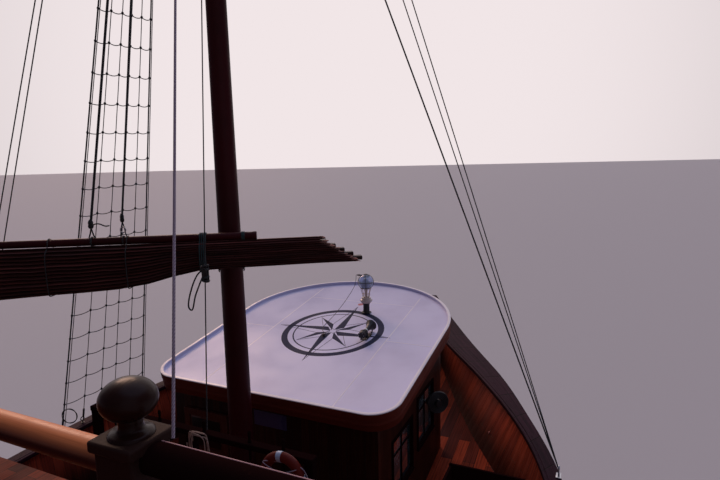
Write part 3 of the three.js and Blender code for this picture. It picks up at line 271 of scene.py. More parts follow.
def board_swell(boards: int, power: int) -> Array:
    """1 - |2 s - 1|^power at points across boards, s the place across one: 0 at its edges and 1 between."""
    s = (np.arange(boards * PER_BOARD + 1) % PER_BOARD) / PER_BOARD
    return 1.0 - np.abs(2 * s - 1) ** power


class Surface:
    """Grids, tubes, turned solids and boxes gathered into one mesh, with a UV map in metres.

    Its place function moves tubes, turned solids and boxes from their own frame to the ship's. A
    grid's faces look along the cross product of its row and column directions; a closed shape is
    turned right side out by the sign of its volume.
    """

    def __init__(self, place: Place = lambda points: points) -> None:
        """Starts empty."""
        self.place, self.count = place, 0
        self.points: list[Array] = []
        self.faces: list[Array] = []
        self.coords: list[Array] = []

    def add(self, points: Array, *parts: tuple[Array, Array]) -> "Surface":
        """Keeps points, and parts of faces of one size with the UV of their corners."""
        for faces, coords in parts:
            self.faces.append(faces + self.count)
            self.coords.append(coords.reshape(*faces.shape, 2))
        self.points.append(points.reshape(-1, 3))
        self.count += len(self.points[-1])
        return self

    @staticmethod
    def metric(points: Array, close: bool, wrap: bool) -> Array:
        """UV of a grid: u and v are mean lengths along its rows and columns."""
        rows = np.vstack([points, points[:1]]) if close else points
        both = np.concatenate([rows, rows[:, :1]], axis=1) if wrap else rows
        u = np.linalg.norm(np.diff(both, axis=0), axis=-1).mean(axis=1)
        v = np.linalg.norm(np.diff(both, axis=1), axis=-1).mean(axis=0)
        u, v = (np.concatenate([[0.0], np.cumsum(steps)]) for steps in (u, v))
        return stack(u[:, None], v)

    def grid(self, points: Array, close: bool = False, wrap: bool = False, flip: bool = False,
             caps: bool = False, solid: bool = False) -> "Surface":
        """Adds a grid of quads.

        Args:
            points: Points on the ship, rows by columns by 3.
            close: Whether the last row joins the first.
            wrap: Whether the last column joins the first.
            flip: Turns the faces over.
            caps: Closes the first and last rows with fans to their middles.
            solid: The grid is closed, so its volume's sign decides which way it faces.

        Returns:
            The surface itself.
        """
        m, n = points.shape[:2]
        i, j = np.meshgrid(np.arange(m if close else m - 1), np.arange(n if wrap else n - 1), indexing="ij")
        i1, j1 = (i + 1) % m, (j + 1) % n
        quads = np.stack([i * n + j, i1 * n + j, i1 * n + j1, i * n + j1], -1).reshape(-1, 4)
        uv = self.metric(points, close, wrap)
        corners = np.stack([uv[i, j], uv[i + 1, j], uv[i + 1, j + 1], uv[i, j + 1]], -2).reshape(-1, 4, 2)
        body, fans = points.reshape(-1, 3), []
        if caps:
            body = np.vstack([body, points[[0, -1]].mean(axis=1)])
            k, k1 = np.arange(n), (np.arange(n) + 1) % n
            fans = [stack(m * n, k, k1), stack(m * n + 1, (m - 1) * n + k1, (m - 1) * n + k)]
            fans = [fan.astype(int) for fan in fans]
        if solid:
            triangles = body[np.vstack([quads[:, :3], quads[:, [0, 2, 3]], *fans])] - body.mean(axis=0)
            a, b, c = np.moveaxis(triangles, 1, 0)
            flip = float((a * np.cross(b, c)).sum()) < 0.0
        if flip:
            quads, corners, fans = quads[:, ::-1], corners[:, ::-1], [fan[:, ::-1] for fan in fans]
        return self.add(body, (quads, corners), *[(fan, np.zeros((*fan.shape, 2))) for fan in fans])

    def closed(self, points: Array, close: bool = False) -> "Surface":
        """Adds a closed solid: rings of points, joined end to end or capped."""
        return self.grid(points, close=close, wrap=True, caps=not close, solid=True)

    def both(self, points: Array, flip: bool = False, solid: bool = False) -> None:
        """Adds a port grid, or a solid of rings, and its mirror image to starboard."""
        for side in SIDES:
            there = points * (1.0, side, 1.0)
            self.closed(there) if solid else self.grid(there, flip=flip != (side < 0))

    def tube(self, path: Array, radius: float | Array, sides: int = 8, closed: bool = False) -> "Surface":
        """Adds a round bar: circles of a radius, across a path at each of its points."""
        path = self.place(np.asarray(path, dtype=float))
        side, up = ring_frame(path, closed)
        around = turns(sides)[:, None]
        reach = np.broadcast_to(np.asarray(radius, dtype=float), len(path))[:, None, None]
        circles = np.cos(around) * side[:, None] + np.sin(around) * up[:, None]
        return self.closed(path[:, None] + reach * circles, closed)

    def lathe(self, profile: Array, foot: Point = (0, 0, 0), axis: Point = (0, 0, 1),
              sides: int = 24) -> "Surface":
        """Adds a turned solid.

        Args:
            profile: Pairs of radius and height from the foot upwards.
            foot: Where height nought lies.
            axis: Which way is up for it.
            sides: Points around.

        Returns:
            The surface itself.
        """
        radius, height = np.asarray(profile, dtype=float).T
        up = unit(np.asarray(axis, dtype=float))
        side = unit(np.cross(up, (0.0, 1.0, 0.0) if abs(up[1]) < 0.9 else (1.0, 0.0, 0.0)))
        around = turns(sides)[:, None]
        circle = np.cos(around) * side + np.sin(around) * np.cross(up, side)
        middle = np.asarray(foot, dtype=float) + height[:, None] * up
        return self.closed(self.place(middle[:, None] + np.maximum(radius, 1e-4)[:, None, None] * circle))

    def lathes(self, profile: Array, feet: Array, sides: int = 8) -> "Surface":
        """Adds the same upright turned solid at many feet, as one array of rings."""
        radius, height = profile.T
        circle = stack(np.cos(turns(sides)), np.sin(turns(sides)), 0.0)
        points = feet[:, None, None] + radius[:, None, None] * circle + height[:, None, None] * (0.0, 0.0,
                                                                                                 1.0)
        k, m, n = points.shape[:3]
        i, j = np.meshgrid(np.arange(m - 1), np.arange(n), indexing="ij")
        j1 = (j + 1) % n
        quads = np.stack([i * n + j, i * n + j1, (i + 1) * n + j1, (i + 1) * n + j], -1).reshape(-1, 4)
        every = (quads + (np.arange(k) * m * n)[:, None, None]).reshape(-1, 4)
        v = np.linspace(0.0, TURN * radius.max(), n + 1)
        corners = ((j, i), (j + 1, i), (j + 1, i + 1), (j, i + 1))
        one = np.stack([stack(v[a], height[b]) for a, b in corners], -2).reshape(-1, 4, 2)
        return self.add(points, (every, np.tile(one, (k, 1, 1))))

    def boxes(self, lows: Array, highs: Array) -> "Surface":
        """Adds boxes from their low and high corners, k by 3 each."""
        low, high = (np.atleast_2d(np.asarray(corners, dtype=float)) for corners in (lows, highs))
        mask = np.array([[x, y, z] for z in (0, 1) for y in (0, 1) for x in (0, 1)])
        points = (low[:, None] + mask * (high - low)[:, None]).reshape(-1, 3)
        sides = np.array([[0, 2, 3, 1], [4, 5, 7, 6], [0, 1, 5, 4], [2, 6, 7, 3], [0, 4, 6, 2], [1, 3, 7, 5]])
        faces = (sides + (8 * np.arange(len(low)))[:, None, None]).reshape(-1, 4)
        along, across = (np.linalg.norm(points[faces[:, k]] - points[faces[:, 0]], axis=-1) for k in (1, 3))
        uv = np.stack([stack(0 * along, 0), stack(along, 0), stack(along, across), stack(0, across)], 1)
        return self.add(self.place(points), (faces, uv))

    def build(self, name: str, finish: "Finish", body: Body = Body.HULL, replaces: Sequence[str] = (),
              sharp: float = 38.0, bevel: float = 0.0) -> bpy.types.Object:
        """Makes the mesh and its object, hangs it on its body and hides the CAD nodes it stands for.

        Args:
            name: The piece's name.
            finish: Its finish, which also knows the record's slot.
            body: The body it rides on.
            replaces: CAD nodes that it hides.
            sharp: Edges that bend more than this many degrees stay sharp.
            bevel: Width of a rounded edge, none at 0.

        Returns:
            The new object.
        """
        mesh = bpy.data.meshes.new(name)
        sizes = np.concatenate([np.full(len(f), f.shape[1]) for f in self.faces])
        corners = np.concatenate([f.reshape(-1) for f in self.faces]).astype(np.int32)
        mesh.vertices.add(self.count)
        mesh.vertices.foreach_set("co", np.vstack(self.points).astype(np.float32).reshape(-1))
        mesh.loops.add(len(corners))
        mesh.loops.foreach_set("vertex_index", corners)
        mesh.polygons.add(len(sizes))
        mesh.polygons.foreach_set("loop_start", np.concatenate([[0], np.cumsum(sizes)[:-1]]).astype(np.int32))
        mesh.polygons.foreach_set("use_smooth", np.ones(len(sizes), dtype=bool))
        flat = np.concatenate([c.reshape(-1, 2) for c in self.coords]).astype(np.float32)
        mesh.uv_layers.new(name="metres").data.foreach_set("uv", flat.reshape(-1))
        mesh.update(calc_edges=True)
        mesh.validate()
        mesh.set_sharp_from_angle(angle=math.radians(sharp))
        mesh.materials.append(finish.material())
        obj = bpy.data.objects.new(name, mesh)
        bpy.context.scene.collection.objects.link(obj)
        if bevel > 0.0:
            rounded = obj.modifiers.new("rounded_edges", "BEVEL")
            rounded.width, rounded.segments, rounded.limit_method = bevel, 2, "ANGLE"
            rounded.angle_limit, rounded.harden_normals = math.radians(50.0), False
        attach(obj, body.value)
        if replaces:
            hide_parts(*replaces)
        LOG.info("%s: %d points, rides on %s", name, self.count, body.value)
        return obj


class Graph:
    """A material's node tree, with short calls for the nodes that the finishes share."""

    def __init__(self, name: str) -> None:
        """Starts an empty tree under a material's name."""
        self.block = bpy.data.materials.new(name)
        self.block.use_nodes = True
        self.tree = self.block.node_tree
        self.tree.nodes.clear()

    def node(self, kind: str, sockets: dict | None = None, **options: object) -> bpy.types.Node:
        """Adds a shader node, sets its options, and links or sets the sockets given by name or index."""
        node = self.tree.nodes.new("ShaderNode" + kind)
        for key, value in options.items():
            setattr(node, key, value)
        for key, value in (sockets or {}).items():
            if isinstance(value, Socket):
                self.tree.links.new(value, node.inputs[key])
            else:
                node.inputs[key].default_value = value
        return node

    def op(self, operation: str, a: Value, b: Value = 0.0, c: Value = 0.0) -> Socket:
        """One Math node's result."""
        return self.node("Math", {0: a, 1: b, 2: c}, operation=operation).outputs[0]

    def times(self, a: Value, b: Value) -> Socket:
        """A product."""
        return self.op("MULTIPLY", a, b)

    def mix(self, factor: Value, a: Value, b: Value, blend: str = "MIX") -> Socket:
        """Colour b over colour a by a factor."""
        sockets = {0: factor, 6: self.rgba(a), 7: self.rgba(b)}
        return self.node("Mix", sockets, data_type="RGBA", blend_type=blend, clamp_factor=True).outputs[2]

    @staticmethod
    def rgba(value: Value) -> Value:
        """A colour with its alpha, or a socket as it is."""
        return value if isinstance(value, Socket) else (*value, 1.0)

    def noise(self, vector: Socket, scale: float, detail: float = 4.0, rough: float = 0.55) -> Socket:
        """Noise values of a vector."""
        sockets = {"Vector": vector, "Scale": scale, "Detail": detail, "Roughness": rough}
        return self.node("TexNoise", sockets).outputs[0]

    def ramp(self, factor: Socket, low: float, high: float, start: float = 0.0, end: float = 1.0) -> Socket:
        """A factor mapped smoothly from low..high to start..end."""
        sockets = {0: factor, 1: low, 2: high, 3: start, 4: end}
        return self.node("MapRange", sockets, interpolation_type="SMOOTHSTEP").outputs[0]

    def axes(self) -> SimpleNamespace:
        """The object's coordinates x, y, z, all three as place, and its UV map's u and v, in metres."""
        coords = self.node("TexCoord").outputs
        x, y, z = self.node("SeparateXYZ", {0: coords["Object"]}).outputs
        u, v, _ = self.node("SeparateXYZ", {0: coords["UV"]}).outputs
        return SimpleNamespace(x=x, y=y, z=z, u=u, v=v, place=coords["Object"])

    def upward(self) -> Socket:
        """How far the surface looks up: the normal's Z."""
        return self.node("SeparateXYZ", {0: self.node("NewGeometry").outputs["Normal"]}).outputs[2]

    def vector(self, x: Value, y: Value, z: Value = 0.0) -> Socket:
        """A vector from its parts."""
        return self.node("CombineXYZ", {0: x, 1: y, 2: z}).outputs[0]

    def bump(self, height: Socket, distance: float, strength: float, after: Socket | None = None) -> Socket:
        """A normal bent by a height in metres."""
        sockets = {"Height": height, "Distance": distance, "Strength": strength}
        return self.node("Bump", sockets if after is None else {**sockets, "Normal": after}).outputs[0]

    def shade(self, colour: Value, rough: Value, normal: Socket | None = None,
              **uniform: object) -> bpy.types.Material:
        """Ends the tree in one Principled shader.

        Args:
            colour: Base colour.
            rough: Roughness.
            normal: Bent normal.
            uniform: Other sockets, by name with underscores, each set to one value.

        Returns:
            The material.
        """
        sockets = {key.replace("_", " "): value for key, value in uniform.items()}
        sockets |= {"Base Color": self.rgba(colour), "Roughness": rough}
        if normal is not None:
            sockets["Normal"] = normal
        shader = self.node("BsdfPrincipled", sockets)
        self.tree.links.new(shader.outputs[0], self.node("OutputMaterial").inputs[0])
        return self.block


@dataclass(frozen=True)
class Finish:
    """A finish: a name, the record's slot, and a material made once."""

    name: str
    slot: Slot

    def material(self) -> bpy.types.Material:
        """The finish's material, made at its first use."""
        return bpy.data.materials.get(self.name) or self.make(Graph(self.name))

    def make(self, graph: Graph) -> bpy.types.Material:
        """Builds the shader; each kind of finish has its own."""
        raise NotImplementedError


@dataclass(frozen=True)
class Boards(Finish):
    """Wooden boards: each board its own tint, grain along it, and a dark seam at its edges."""

    light: Colour
    dark: Colour
    run: Run = Run.ALONG_MESH
    long: float = 3.0
    wide: float = 0.14
    gap: float = 0.005
    rough: float = 0.42
    coat: float = 0.0
    groove: float = 0.003
    shine: float = 0.5
    painted_foot_shade: float = 0.0
    under: Colour | None = None
    seam: Colour = (0.008, 0.004, 0.003)

    def make(self, graph: Graph) -> bpy.types.Material:
        """Bricks as long as the boards give tint and seam; stretched noise gives grain."""
        at = graph.axes()
        along, across = (getattr(at, axis) for axis in self.run.value)
        bricks = {
            "Vector": graph.vector(along, across), "Color1": (*self.light, 1.0), "Color2": (*self.dark, 1.0),
            "Mortar": (*self.seam, 1.0), "Scale": 1.0, "Mortar Size": self.gap / 2, "Mortar Smooth": 0.15,
            "Bias": 0.0, "Brick Width": self.long, "Row Height": self.wide,
        }
        tint, seam = graph.node("TexBrick", bricks, offset=0.37, offset_frequency=2).outputs
        grain = graph.noise(graph.vector(graph.times(along, 1.3), graph.times(across, 42.0), at.z), 1.0, 6.0,
                            0.6)
        broad = graph.noise(at.place, 0.9, 3.0)
        tint = graph.mix(graph.ramp(grain, 0.35, 0.72), tint, (0.35, 0.3, 0.3), "MULTIPLY")
        tint = graph.mix(graph.ramp(broad, 0.3, 0.75, 0.0, 0.55), tint, (0.5, 0.45, 0.45), "MULTIPLY")
        if self.under is not None:
            tint = graph.mix(graph.ramp(at.z, 0.12, 0.1), tint, self.under)
        # Painted shade: the boards darken towards their foot (low v), with a streaky edge along the grain.
        if self.painted_foot_shade:
            shade_edge = graph.op("MULTIPLY_ADD", graph.ramp(grain, 0.3, 0.7), 0.3, at.v)
            low = graph.ramp(shade_edge, self.painted_foot_shade, 0.3 * self.painted_foot_shade, 0.0, 0.97)
            tint = graph.mix(low, tint, (0.04, 0.02, 0.02), "MULTIPLY")
        height = graph.op("SUBTRACT", graph.times(grain, 0.12), seam)
        rough = graph.ramp(broad, 0.3, 0.7, self.rough - 0.07, self.rough + 0.1)
        return graph.shade(graph.mix(seam, tint, self.seam), rough, graph.bump(height, self.groove, 0.8),
                           Coat_Weight=self.coat, Coat_Roughness=0.15, Specular_IOR_Level=self.shine)


@dataclass(frozen=True)
class Varnish(Finish):
    """Wood under gloss varnish: grain along u, slanting scarph joints, and scuffs that dull it.

    Where a top tone is given, faces that look up are lightened to it: a painted highlight on the upper side.
    """

    light: Colour
    dark: Colour
    scarph: float = 50.0
    joint: float = 0.005
    rough: float = 0.4
    coat: float = 0.2
    shine: float = 0.25
    top_highlight: Colour | None = None

    def make(self, graph: Graph) -> bpy.types.Material:
        """Stretched noise mixes the tones; a thin dark line crosses where a slanted u nears its joint."""
        at = graph.axes()
        grain = graph.noise(graph.vector(graph.times(at.u, 1.1), graph.times(at.v, 55.0)), 1.0, 6.0, 0.62)
        tone = graph.mix(graph.ramp(grain, 0.3, 0.7), self.dark, self.light)
        slant = graph.op("MULTIPLY_ADD", at.v, 0.8, at.u)
        joint = graph.ramp(graph.op("PINGPONG", slant, self.scarph / 2), self.joint, 0.3 * self.joint)
        length = graph.op("FLOOR", graph.op("DIVIDE", slant, self.scarph))
        each = graph.node("TexWhiteNoise", {"W": length}, noise_dimensions="1D").outputs[0]
        tone = graph.mix(graph.times(each, 0.45), tone, (0.45, 0.4, 0.4), "MULTIPLY")
        # Painted highlight: upward faces take the lighter top tone, grained, standing for light from above.
        if self.top_highlight is not None:
            worn = graph.mix(graph.ramp(grain, 0.3, 0.7), (0.7, 0.6, 0.6), (1.0, 1.0, 1.0))
            worn = graph.mix(1.0, worn, self.top_highlight, "MULTIPLY")
            tone = graph.mix(graph.ramp(graph.upward(), 0.05, 0.95), tone, worn)
        scuff = graph.noise(at.place, 23.0, 5.0, 0.65)
        rough = graph.op("ADD", graph.ramp(scuff, 0.5, 0.75, 0.0, 0.22), self.rough)
        wave = graph.bump(graph.noise(at.place, 1.7, 3.0), 0.004, 0.5)
        normal = graph.bump(graph.op("SUBTRACT", graph.times(grain, 0.1), joint), 0.002, 0.7, wave)
        return graph.shade(graph.mix(joint, tone, (0.006, 0.002, 0.002)), rough, normal,
                           Coat_Weight=self.coat, Coat_Roughness=0.08, Specular_IOR_Level=self.shine)


@dataclass(frozen=True)
class Paint(Finish):
    """Brushed or sprayed paint: faint tone changes, dirt in broad patches, and a fine ripple."""

    colour: Colour
    dirt: Colour = (0.016, 0.006, 0.005)
    worn: Colour = (0.08, 0.026, 0.018)
    rough: float = 0.3
    coat: float = 0.0
    ripple: float = 0.0012
    grime: float = 0.35
    wear: float = 0.25
    shine: float = 0.4

    def make(self, graph: Graph) -> bpy.types.Material:
        """Three noises: broad for dirt, middle for worn specks, fine and stretched for brush marks."""
        at = graph.axes()
        broad = graph.noise(at.place, 1.3, 4.0)
        brushed = graph.vector(graph.times(at.x, 9.0), graph.times(at.y, 60.0), graph.times(at.z, 9.0))
        colour = graph.mix(graph.ramp(broad, 0.42, 0.75, 0.0, self.grime), self.colour, self.dirt)
        specks = graph.ramp(graph.noise(at.place, 14.0, 6.0, 0.7), 0.66, 0.72, 0.0, self.wear)
        rough = graph.ramp(broad, 0.35, 0.7, self.rough - 0.06, self.rough + 0.12)
        normal = graph.bump(graph.noise(brushed, 1.0, 3.0), self.ripple, 0.6)
        return graph.shade(graph.mix(specks, colour, self.worn), rough, normal,
                           Coat_Weight=self.coat, Coat_Roughness=0.12, Specular_IOR_Level=self.shine)


@dataclass(frozen=True)
class Sailcloth(Finish):
    """Tanned canvas: a plain weave on its own UV, creases along the folds, and upper faces lighter as painted
    top light.
    """

    colour: Colour = (0.06, 0.011, 0.009)
    dark: Colour = (0.016, 0.004, 0.004)
    # The lighter red of upward faces: painted top light.
    top_light_tone: Colour = (0.24, 0.04, 0.028)
    thread: float = 0.004

    def make(self, graph: Graph) -> bpy.types.Material:
        """Two crossed sine waves make the weave; noise stretched along the fold makes creases."""
        at = graph.axes()
        wave = TURN / (2 * self.thread)
        warp, weft = (graph.op("SINE", graph.times(along, wave)) for along in (at.u, at.v))
        crease = graph.noise(graph.vector(graph.times(at.u, 1.5), graph.times(at.v, 9.0)), 1.0, 6.0, 0.6)
        colour = graph.mix(graph.ramp(graph.noise(at.place, 2.3, 4.0), 0.35, 0.7), self.colour, self.dark)
        # Painted light: upward faces along the creases are lightened, as if lit from above.
        top_light_mask = graph.times(graph.ramp(graph.upward(), 0.2, 0.95), graph.ramp(crease, 0.3, 0.7))
        normal = graph.bump(graph.times(warp, weft), 0.0006, 0.5, graph.bump(crease, 0.012, 0.9))
        return graph.shade(graph.mix(graph.times(top_light_mask, 0.75), colour, self.top_light_tone), 0.85, normal,
                           Sheen_Weight=0.25, Sheen_Roughness=0.5, Sheen_Tint=(0.6, 0.3, 0.25, 1.0))


@dataclass(frozen=True)
class LaidRope(Finish):
    """Three-strand rope on a tube's UV: u along it and v around it."""

    colour: Colour
    dark: Colour
    thick: float
    rough: float = 0.9

    def make(self, graph: Graph) -> bpy.types.Material:
        """A sine of three turns of v less one turn of u in each lay gives the strands; noise gives fibres."""
        at = graph.axes()
        around = graph.times(at.v, 3.0 / (math.pi * self.thick))
        along = graph.times(at.u, 1.0 / (1.1 * self.thick))
        phase = graph.times(graph.op("SUBTRACT", around, along), TURN)
        strand = graph.ramp(graph.op("SINE", phase), -1.0, 1.0)
        fibre, patch = graph.noise(at.place, 180.0, 3.0, 0.6), graph.noise(at.place, 3.0, 3.0)
        colour = graph.mix(graph.times(strand, graph.ramp(patch, 0.2, 0.8, 0.6, 1.0)), self.dark, self.colour)
        colour = graph.mix(graph.ramp(fibre, 0.45, 0.7, 0.0, 0.35), colour, self.dark)
        normal = graph.bump(graph.op("MULTIPLY_ADD", fibre, 0.25, strand), self.thick * 0.16, 0.9)
        return graph.shade(colour, self.rough, normal, Sheen_Weight=0.15)


@dataclass(frozen=True)
class Metal(Finish):
    """Bare or painted metal, brushed or cast, with dull and stained patches."""

    colour: Colour = (0.56, 0.57, 0.6)
    stain: Colour = (0.2, 0.19, 0.18)
    metallic: float = 1.0
    rough: float = 0.28
    grit: float = 60.0
    depth: float = 0.0008
    stained: float = 0.5

    def make(self, graph: Graph) -> bpy.types.Material:
        """Fine noise roughens the surface; broad noise mixes in stain and dulls it there."""
        at = graph.axes()
        fine = graph.noise(at.place, self.grit, 4.0, 0.6)
        patch = graph.ramp(graph.noise(at.place, 6.0, 5.0, 0.6), 0.45, 0.7, 0.0, self.stained)
        fine_rough = graph.ramp(fine, 0.2, 0.8, self.rough, self.rough + 0.1)
        rough = graph.op("ADD", graph.times(patch, 0.3), fine_rough)
        return graph.shade(graph.mix(patch, self.colour, self.stain), rough,
                           graph.bump(fine, self.depth, 0.6), Metallic=self.metallic)


@dataclass(frozen=True)
class Glass(Finish):
    """Glass with a faint salt haze that shows in its roughness."""

    colour: Colour = (0.03, 0.045, 0.05)
    transmission: float = 0.35
    rough: float = 0.04

    def make(self, graph: Graph) -> bpy.types.Material:
        """Noise raises the roughness in patches, as dried spray does."""
        haze = graph.noise(graph.axes().place, 5.0, 5.0, 0.65)
        rough = graph.ramp(haze, 0.45, 0.75, self.rough, self.rough + 0.12)
        tint = graph.mix(graph.ramp(haze, 0.4, 0.8, 0.0, 0.3), self.colour, (0.5, 0.55, 0.6))
        return graph.shade(tint, rough, None, Transmission_Weight=self.transmission, IOR=1.45)


ANTIFOULING = (0.11, 0.02, 0.014)
TOPSIDE = Boards(
    "topside_planks", Slot.TOPSIDE, (0.21, 0.052, 0.022), (0.1, 0.022, 0.012), long=5.2, wide=0.2, gap=0.008,
    rough=0.5, coat=0.08, groove=0.004, shine=0.2, under=ANTIFOULING,
)
KEEL_WOOD = Boards(
    "keel_timber", Slot.TOPSIDE, (0.1, 0.02, 0.014), (0.06, 0.012, 0.01), Run.FORE_AND_AFT, long=6.0,
    wide=0.4,
    rough=0.6, under=ANTIFOULING,
)
DECK_PLANKS = Boards(
    "deck_planks", Slot.DECK, (0.42, 0.06, 0.02), (0.05, 0.006, 0.006), Run.FORE_AND_AFT, long=1.5, wide=0.2,
    gap=0.007, rough=0.6, shine=0.06,
)
# The lining's boards darken towards their foot: painted shade.
LINING = Boards(
    "bulwark_boards", Slot.BULWARK, (0.66, 0.11, 0.05), (0.42, 0.065, 0.035), Run.UPRIGHT_ON_SIDES, long=1.6,
    wide=0.16, rough=0.45, coat=0.15, groove=0.002, shine=0.3, painted_foot_shade=0.95,
)
# The foredeck house's boards are much darker than the cabins' wall boards: painted shade under the canopy.
SHADED_HOUSE_BOARDS = Boards(
    "foredeck_house_shaded_boards", Slot.BULWARK, (0.07, 0.018, 0.01), (0.03, 0.008, 0.006), Run.UPRIGHT_ON_ENDS,
    gap=0.006, coat=0.1, shine=0.25,
)
SHADED_HOUSE_SIDE_BOARDS = replace(
    SHADED_HOUSE_BOARDS, name="foredeck_house_side_shaded_boards", run=Run.UPRIGHT_ON_SIDES, coat=0.0, shine=0.1,
)
WALL_SIDES = Boards(
    "wall_boards_on_sides", Slot.BULWARK, (0.2, 0.05, 0.02), (0.09, 0.018, 0.011), Run.UPRIGHT_ON_SIDES,
    gap=0.006, coat=0.5,
)
WALL_ENDS = replace(WALL_SIDES, name="wall_boards_on_ends", run=Run.UPRIGHT_ON_ENDS)
CAP_VARNISH = Varnish(
    "cap_rail_varnish", Slot.VARNISH, (0.055, 0.016, 0.03), (0.02, 0.006, 0.012), scarph=0.62, joint=0.011,
    rough=0.6, coat=0.0, shine=0.08,
)
# The handrail's upward faces are lightened to a warm orange: painted top light.
HANDRAIL = Varnish(
    "handrail_varnish", Slot.MAROON, (0.05, 0.012, 0.011), (0.02, 0.005, 0.006), rough=0.42, coat=0.08,
    top_highlight=(0.85, 0.28, 0.09),
)
DOOR_VARNISH = Varnish("door_varnish", Slot.VARNISH, (0.16, 0.04, 0.022), (0.06, 0.012, 0.009))
# Near black and without shine: painted shade, for parts that lie in shadow (a rail bay, the house's window
# casings, the pin rail and its pins, the stair head's screen).
PAINTED_SHADE_BLACK = Paint("painted_shade_wood", Slot.MAROON, (0.012, 0.004, 0.004), rough=0.6, shine=0.0)
TRIM = Paint("trim_paint", Slot.BULWARK, (0.026, 0.006, 0.005), rough=0.4, coat=0.1, shine=0.2)
MAST_PAINT = Paint("mast_paint", Slot.MAROON, (0.05, 0.006, 0.008), rough=0.45, grime=0.5, shine=0.12)
PLATE = Paint(
    "bare_plate_paint", Slot.STEEL, (0.07, 0.06, 0.16), (0.04, 0.035, 0.09), (0.12, 0.1, 0.16), coat=0.3,
)
BAND_PAINT = Paint(
    "canopy_band_paint", Slot.MAROON, (0.14, 0.024, 0.013), (0.05, 0.01, 0.008), (0.2, 0.06, 0.03), rough=0.6,
    shine=0.1,
)
NEWEL_PAINT = Paint(
    "newel_paint", Slot.BULWARK, (0.03, 0.013, 0.01), (0.018, 0.008, 0.007), (0.07, 0.03, 0.022), rough=0.6,
    shine=0.08,
)
BALL_PAINT = Paint(
    "newel_ball_paint", Slot.BULWARK, (0.022, 0.007, 0.005), (0.014, 0.004, 0.003), (0.04, 0.014, 0.01),
    rough=0.26, shine=0.14,
)
# A pale pink bead colour: a painted highlight along the shaded rail's top edge.
PAINTED_HIGHLIGHT_EDGE = Paint("painted_highlight_edge", Slot.MAROON, (0.5, 0.26, 0.27), (0.3, 0.15, 0.16), (0.6, 0.4, 0.38), rough=0.5)
WORN_WHITE = (0.5, 0.44, 0.5)
WHITE = Paint(
    "white_panel_paint", Slot.WHITE, (0.65, 0.65, 0.88), (0.54, 0.52, 0.7), WORN_WHITE, rough=0.5, coat=0.08,
    ripple=0.0006, grime=0.4, wear=0.1,
)
# The rim is whiter than the roof's top: a painted highlight along the edge.
RIM_HIGHLIGHT_WHITE = Paint(
    "rim_highlight_paint", Slot.WHITE, (0.86, 0.82, 0.86), (0.6, 0.56, 0.62), WORN_WHITE, rough=0.4, coat=0.1,
)
SEALANT = Paint("panel_sealant", Slot.WHITE, (0.9, 0.86, 0.95), (0.7, 0.66, 0.74), WORN_WHITE, rough=0.5)
SLATE = Paint(
    "slate_paint", Slot.WHITE, (0.03, 0.035, 0.075), (0.045, 0.05, 0.09), (0.1, 0.1, 0.15), rough=0.7,
    ripple=0.0003, shine=0.1,
)
NORTH_RED = Paint(
    "north_mark_paint", Slot.WHITE, (0.42, 0.035, 0.07), (0.3, 0.03, 0.05), (0.5, 0.2, 0.2), rough=0.4,
    coat=0.1,
    ripple=0.0003,
)
PALE_COLLAR = Paint(
    "lamp_collar_enamel", Slot.STEEL, (0.62, 0.52, 0.46), (0.25, 0.24, 0.26), (0.3, 0.28, 0.28), coat=0.3,
)
REFLECTOR = Paint(
    "pink_reflector", Slot.BULWARK, (0.9, 0.35, 0.3), (0.6, 0.2, 0.2), (0.8, 0.5, 0.5), coat=0.3,
)
# The cover's own red, darkened as painted shade.
SHADED_BUOY = Paint(
    "shaded_buoy_cover", Slot.LIFEBUOY, (0.13, 0.013, 0.008), (0.08, 0.01, 0.007), (0.26, 0.07, 0.04), rough=0.55,
    shine=0.15,
)
BUOY_BAND = Paint(
    "buoy_band", Slot.LIFEBUOY, (0.42, 0.52, 0.66), (0.3, 0.35, 0.45), (0.6, 0.6, 0.6), rough=0.4, coat=0.3,
)
CANVAS = Sailcloth("tanned_canvas", Slot.SAILCLOTH)
DARK_ROPE = LaidRope("tarred_rope", Slot.TARRED, (0.045, 0.05, 0.05), (0.01, 0.012, 0.012), 0.024)
TEAL_ROPE = LaidRope("teal_lashing", Slot.TARRED, (0.03, 0.1, 0.1), (0.008, 0.025, 0.028), 0.014)
HANK_ROPE = LaidRope("hank_rope", Slot.ROPE, (0.62, 0.43, 0.34), (0.2, 0.13, 0.1), 0.012)
GREY_LINE = LaidRope("grey_line", Slot.ROPE, (0.5, 0.42, 0.5), (0.26, 0.2, 0.26), 0.009, rough=0.7)
STEEL = Metal("brushed_steel", Slot.STEEL)
BRONZE = Metal("cast_bronze", Slot.BRONZE, (0.55, 0.34, 0.13), (0.1, 0.16, 0.11), rough=0.3)
IRON = Metal(
    "black_iron", Slot.IRON, (0.014, 0.014, 0.016), (0.05, 0.022, 0.012), metallic=0.0, rough=0.38, grit=90.0,
    stained=0.4,
)
RUBBER = Metal(
    "cable_sheath", Slot.CABLE, (0.012, 0.012, 0.013), (0.03, 0.03, 0.032), metallic=0.0, rough=0.5,
    grit=220.0,
    depth=0.0002,
)
PANE = Glass("window_glass", Slot.STEEL)
LAMP_GLASS = Glass("lamp_glass", Slot.STEEL, (0.62, 0.74, 0.98), transmission=0.7, rough=0.02)


def coat(finish: Finish, *nodes: str) -> None:
    """Gives CAD nodes that stay as they are a finish of their own."""
    for name in nodes:
        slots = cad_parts[name].data.materials
        slots.clear()
        slots.append(finish.material())
        LOG.info("%s keeps its solid, in %s", name, finish.name)


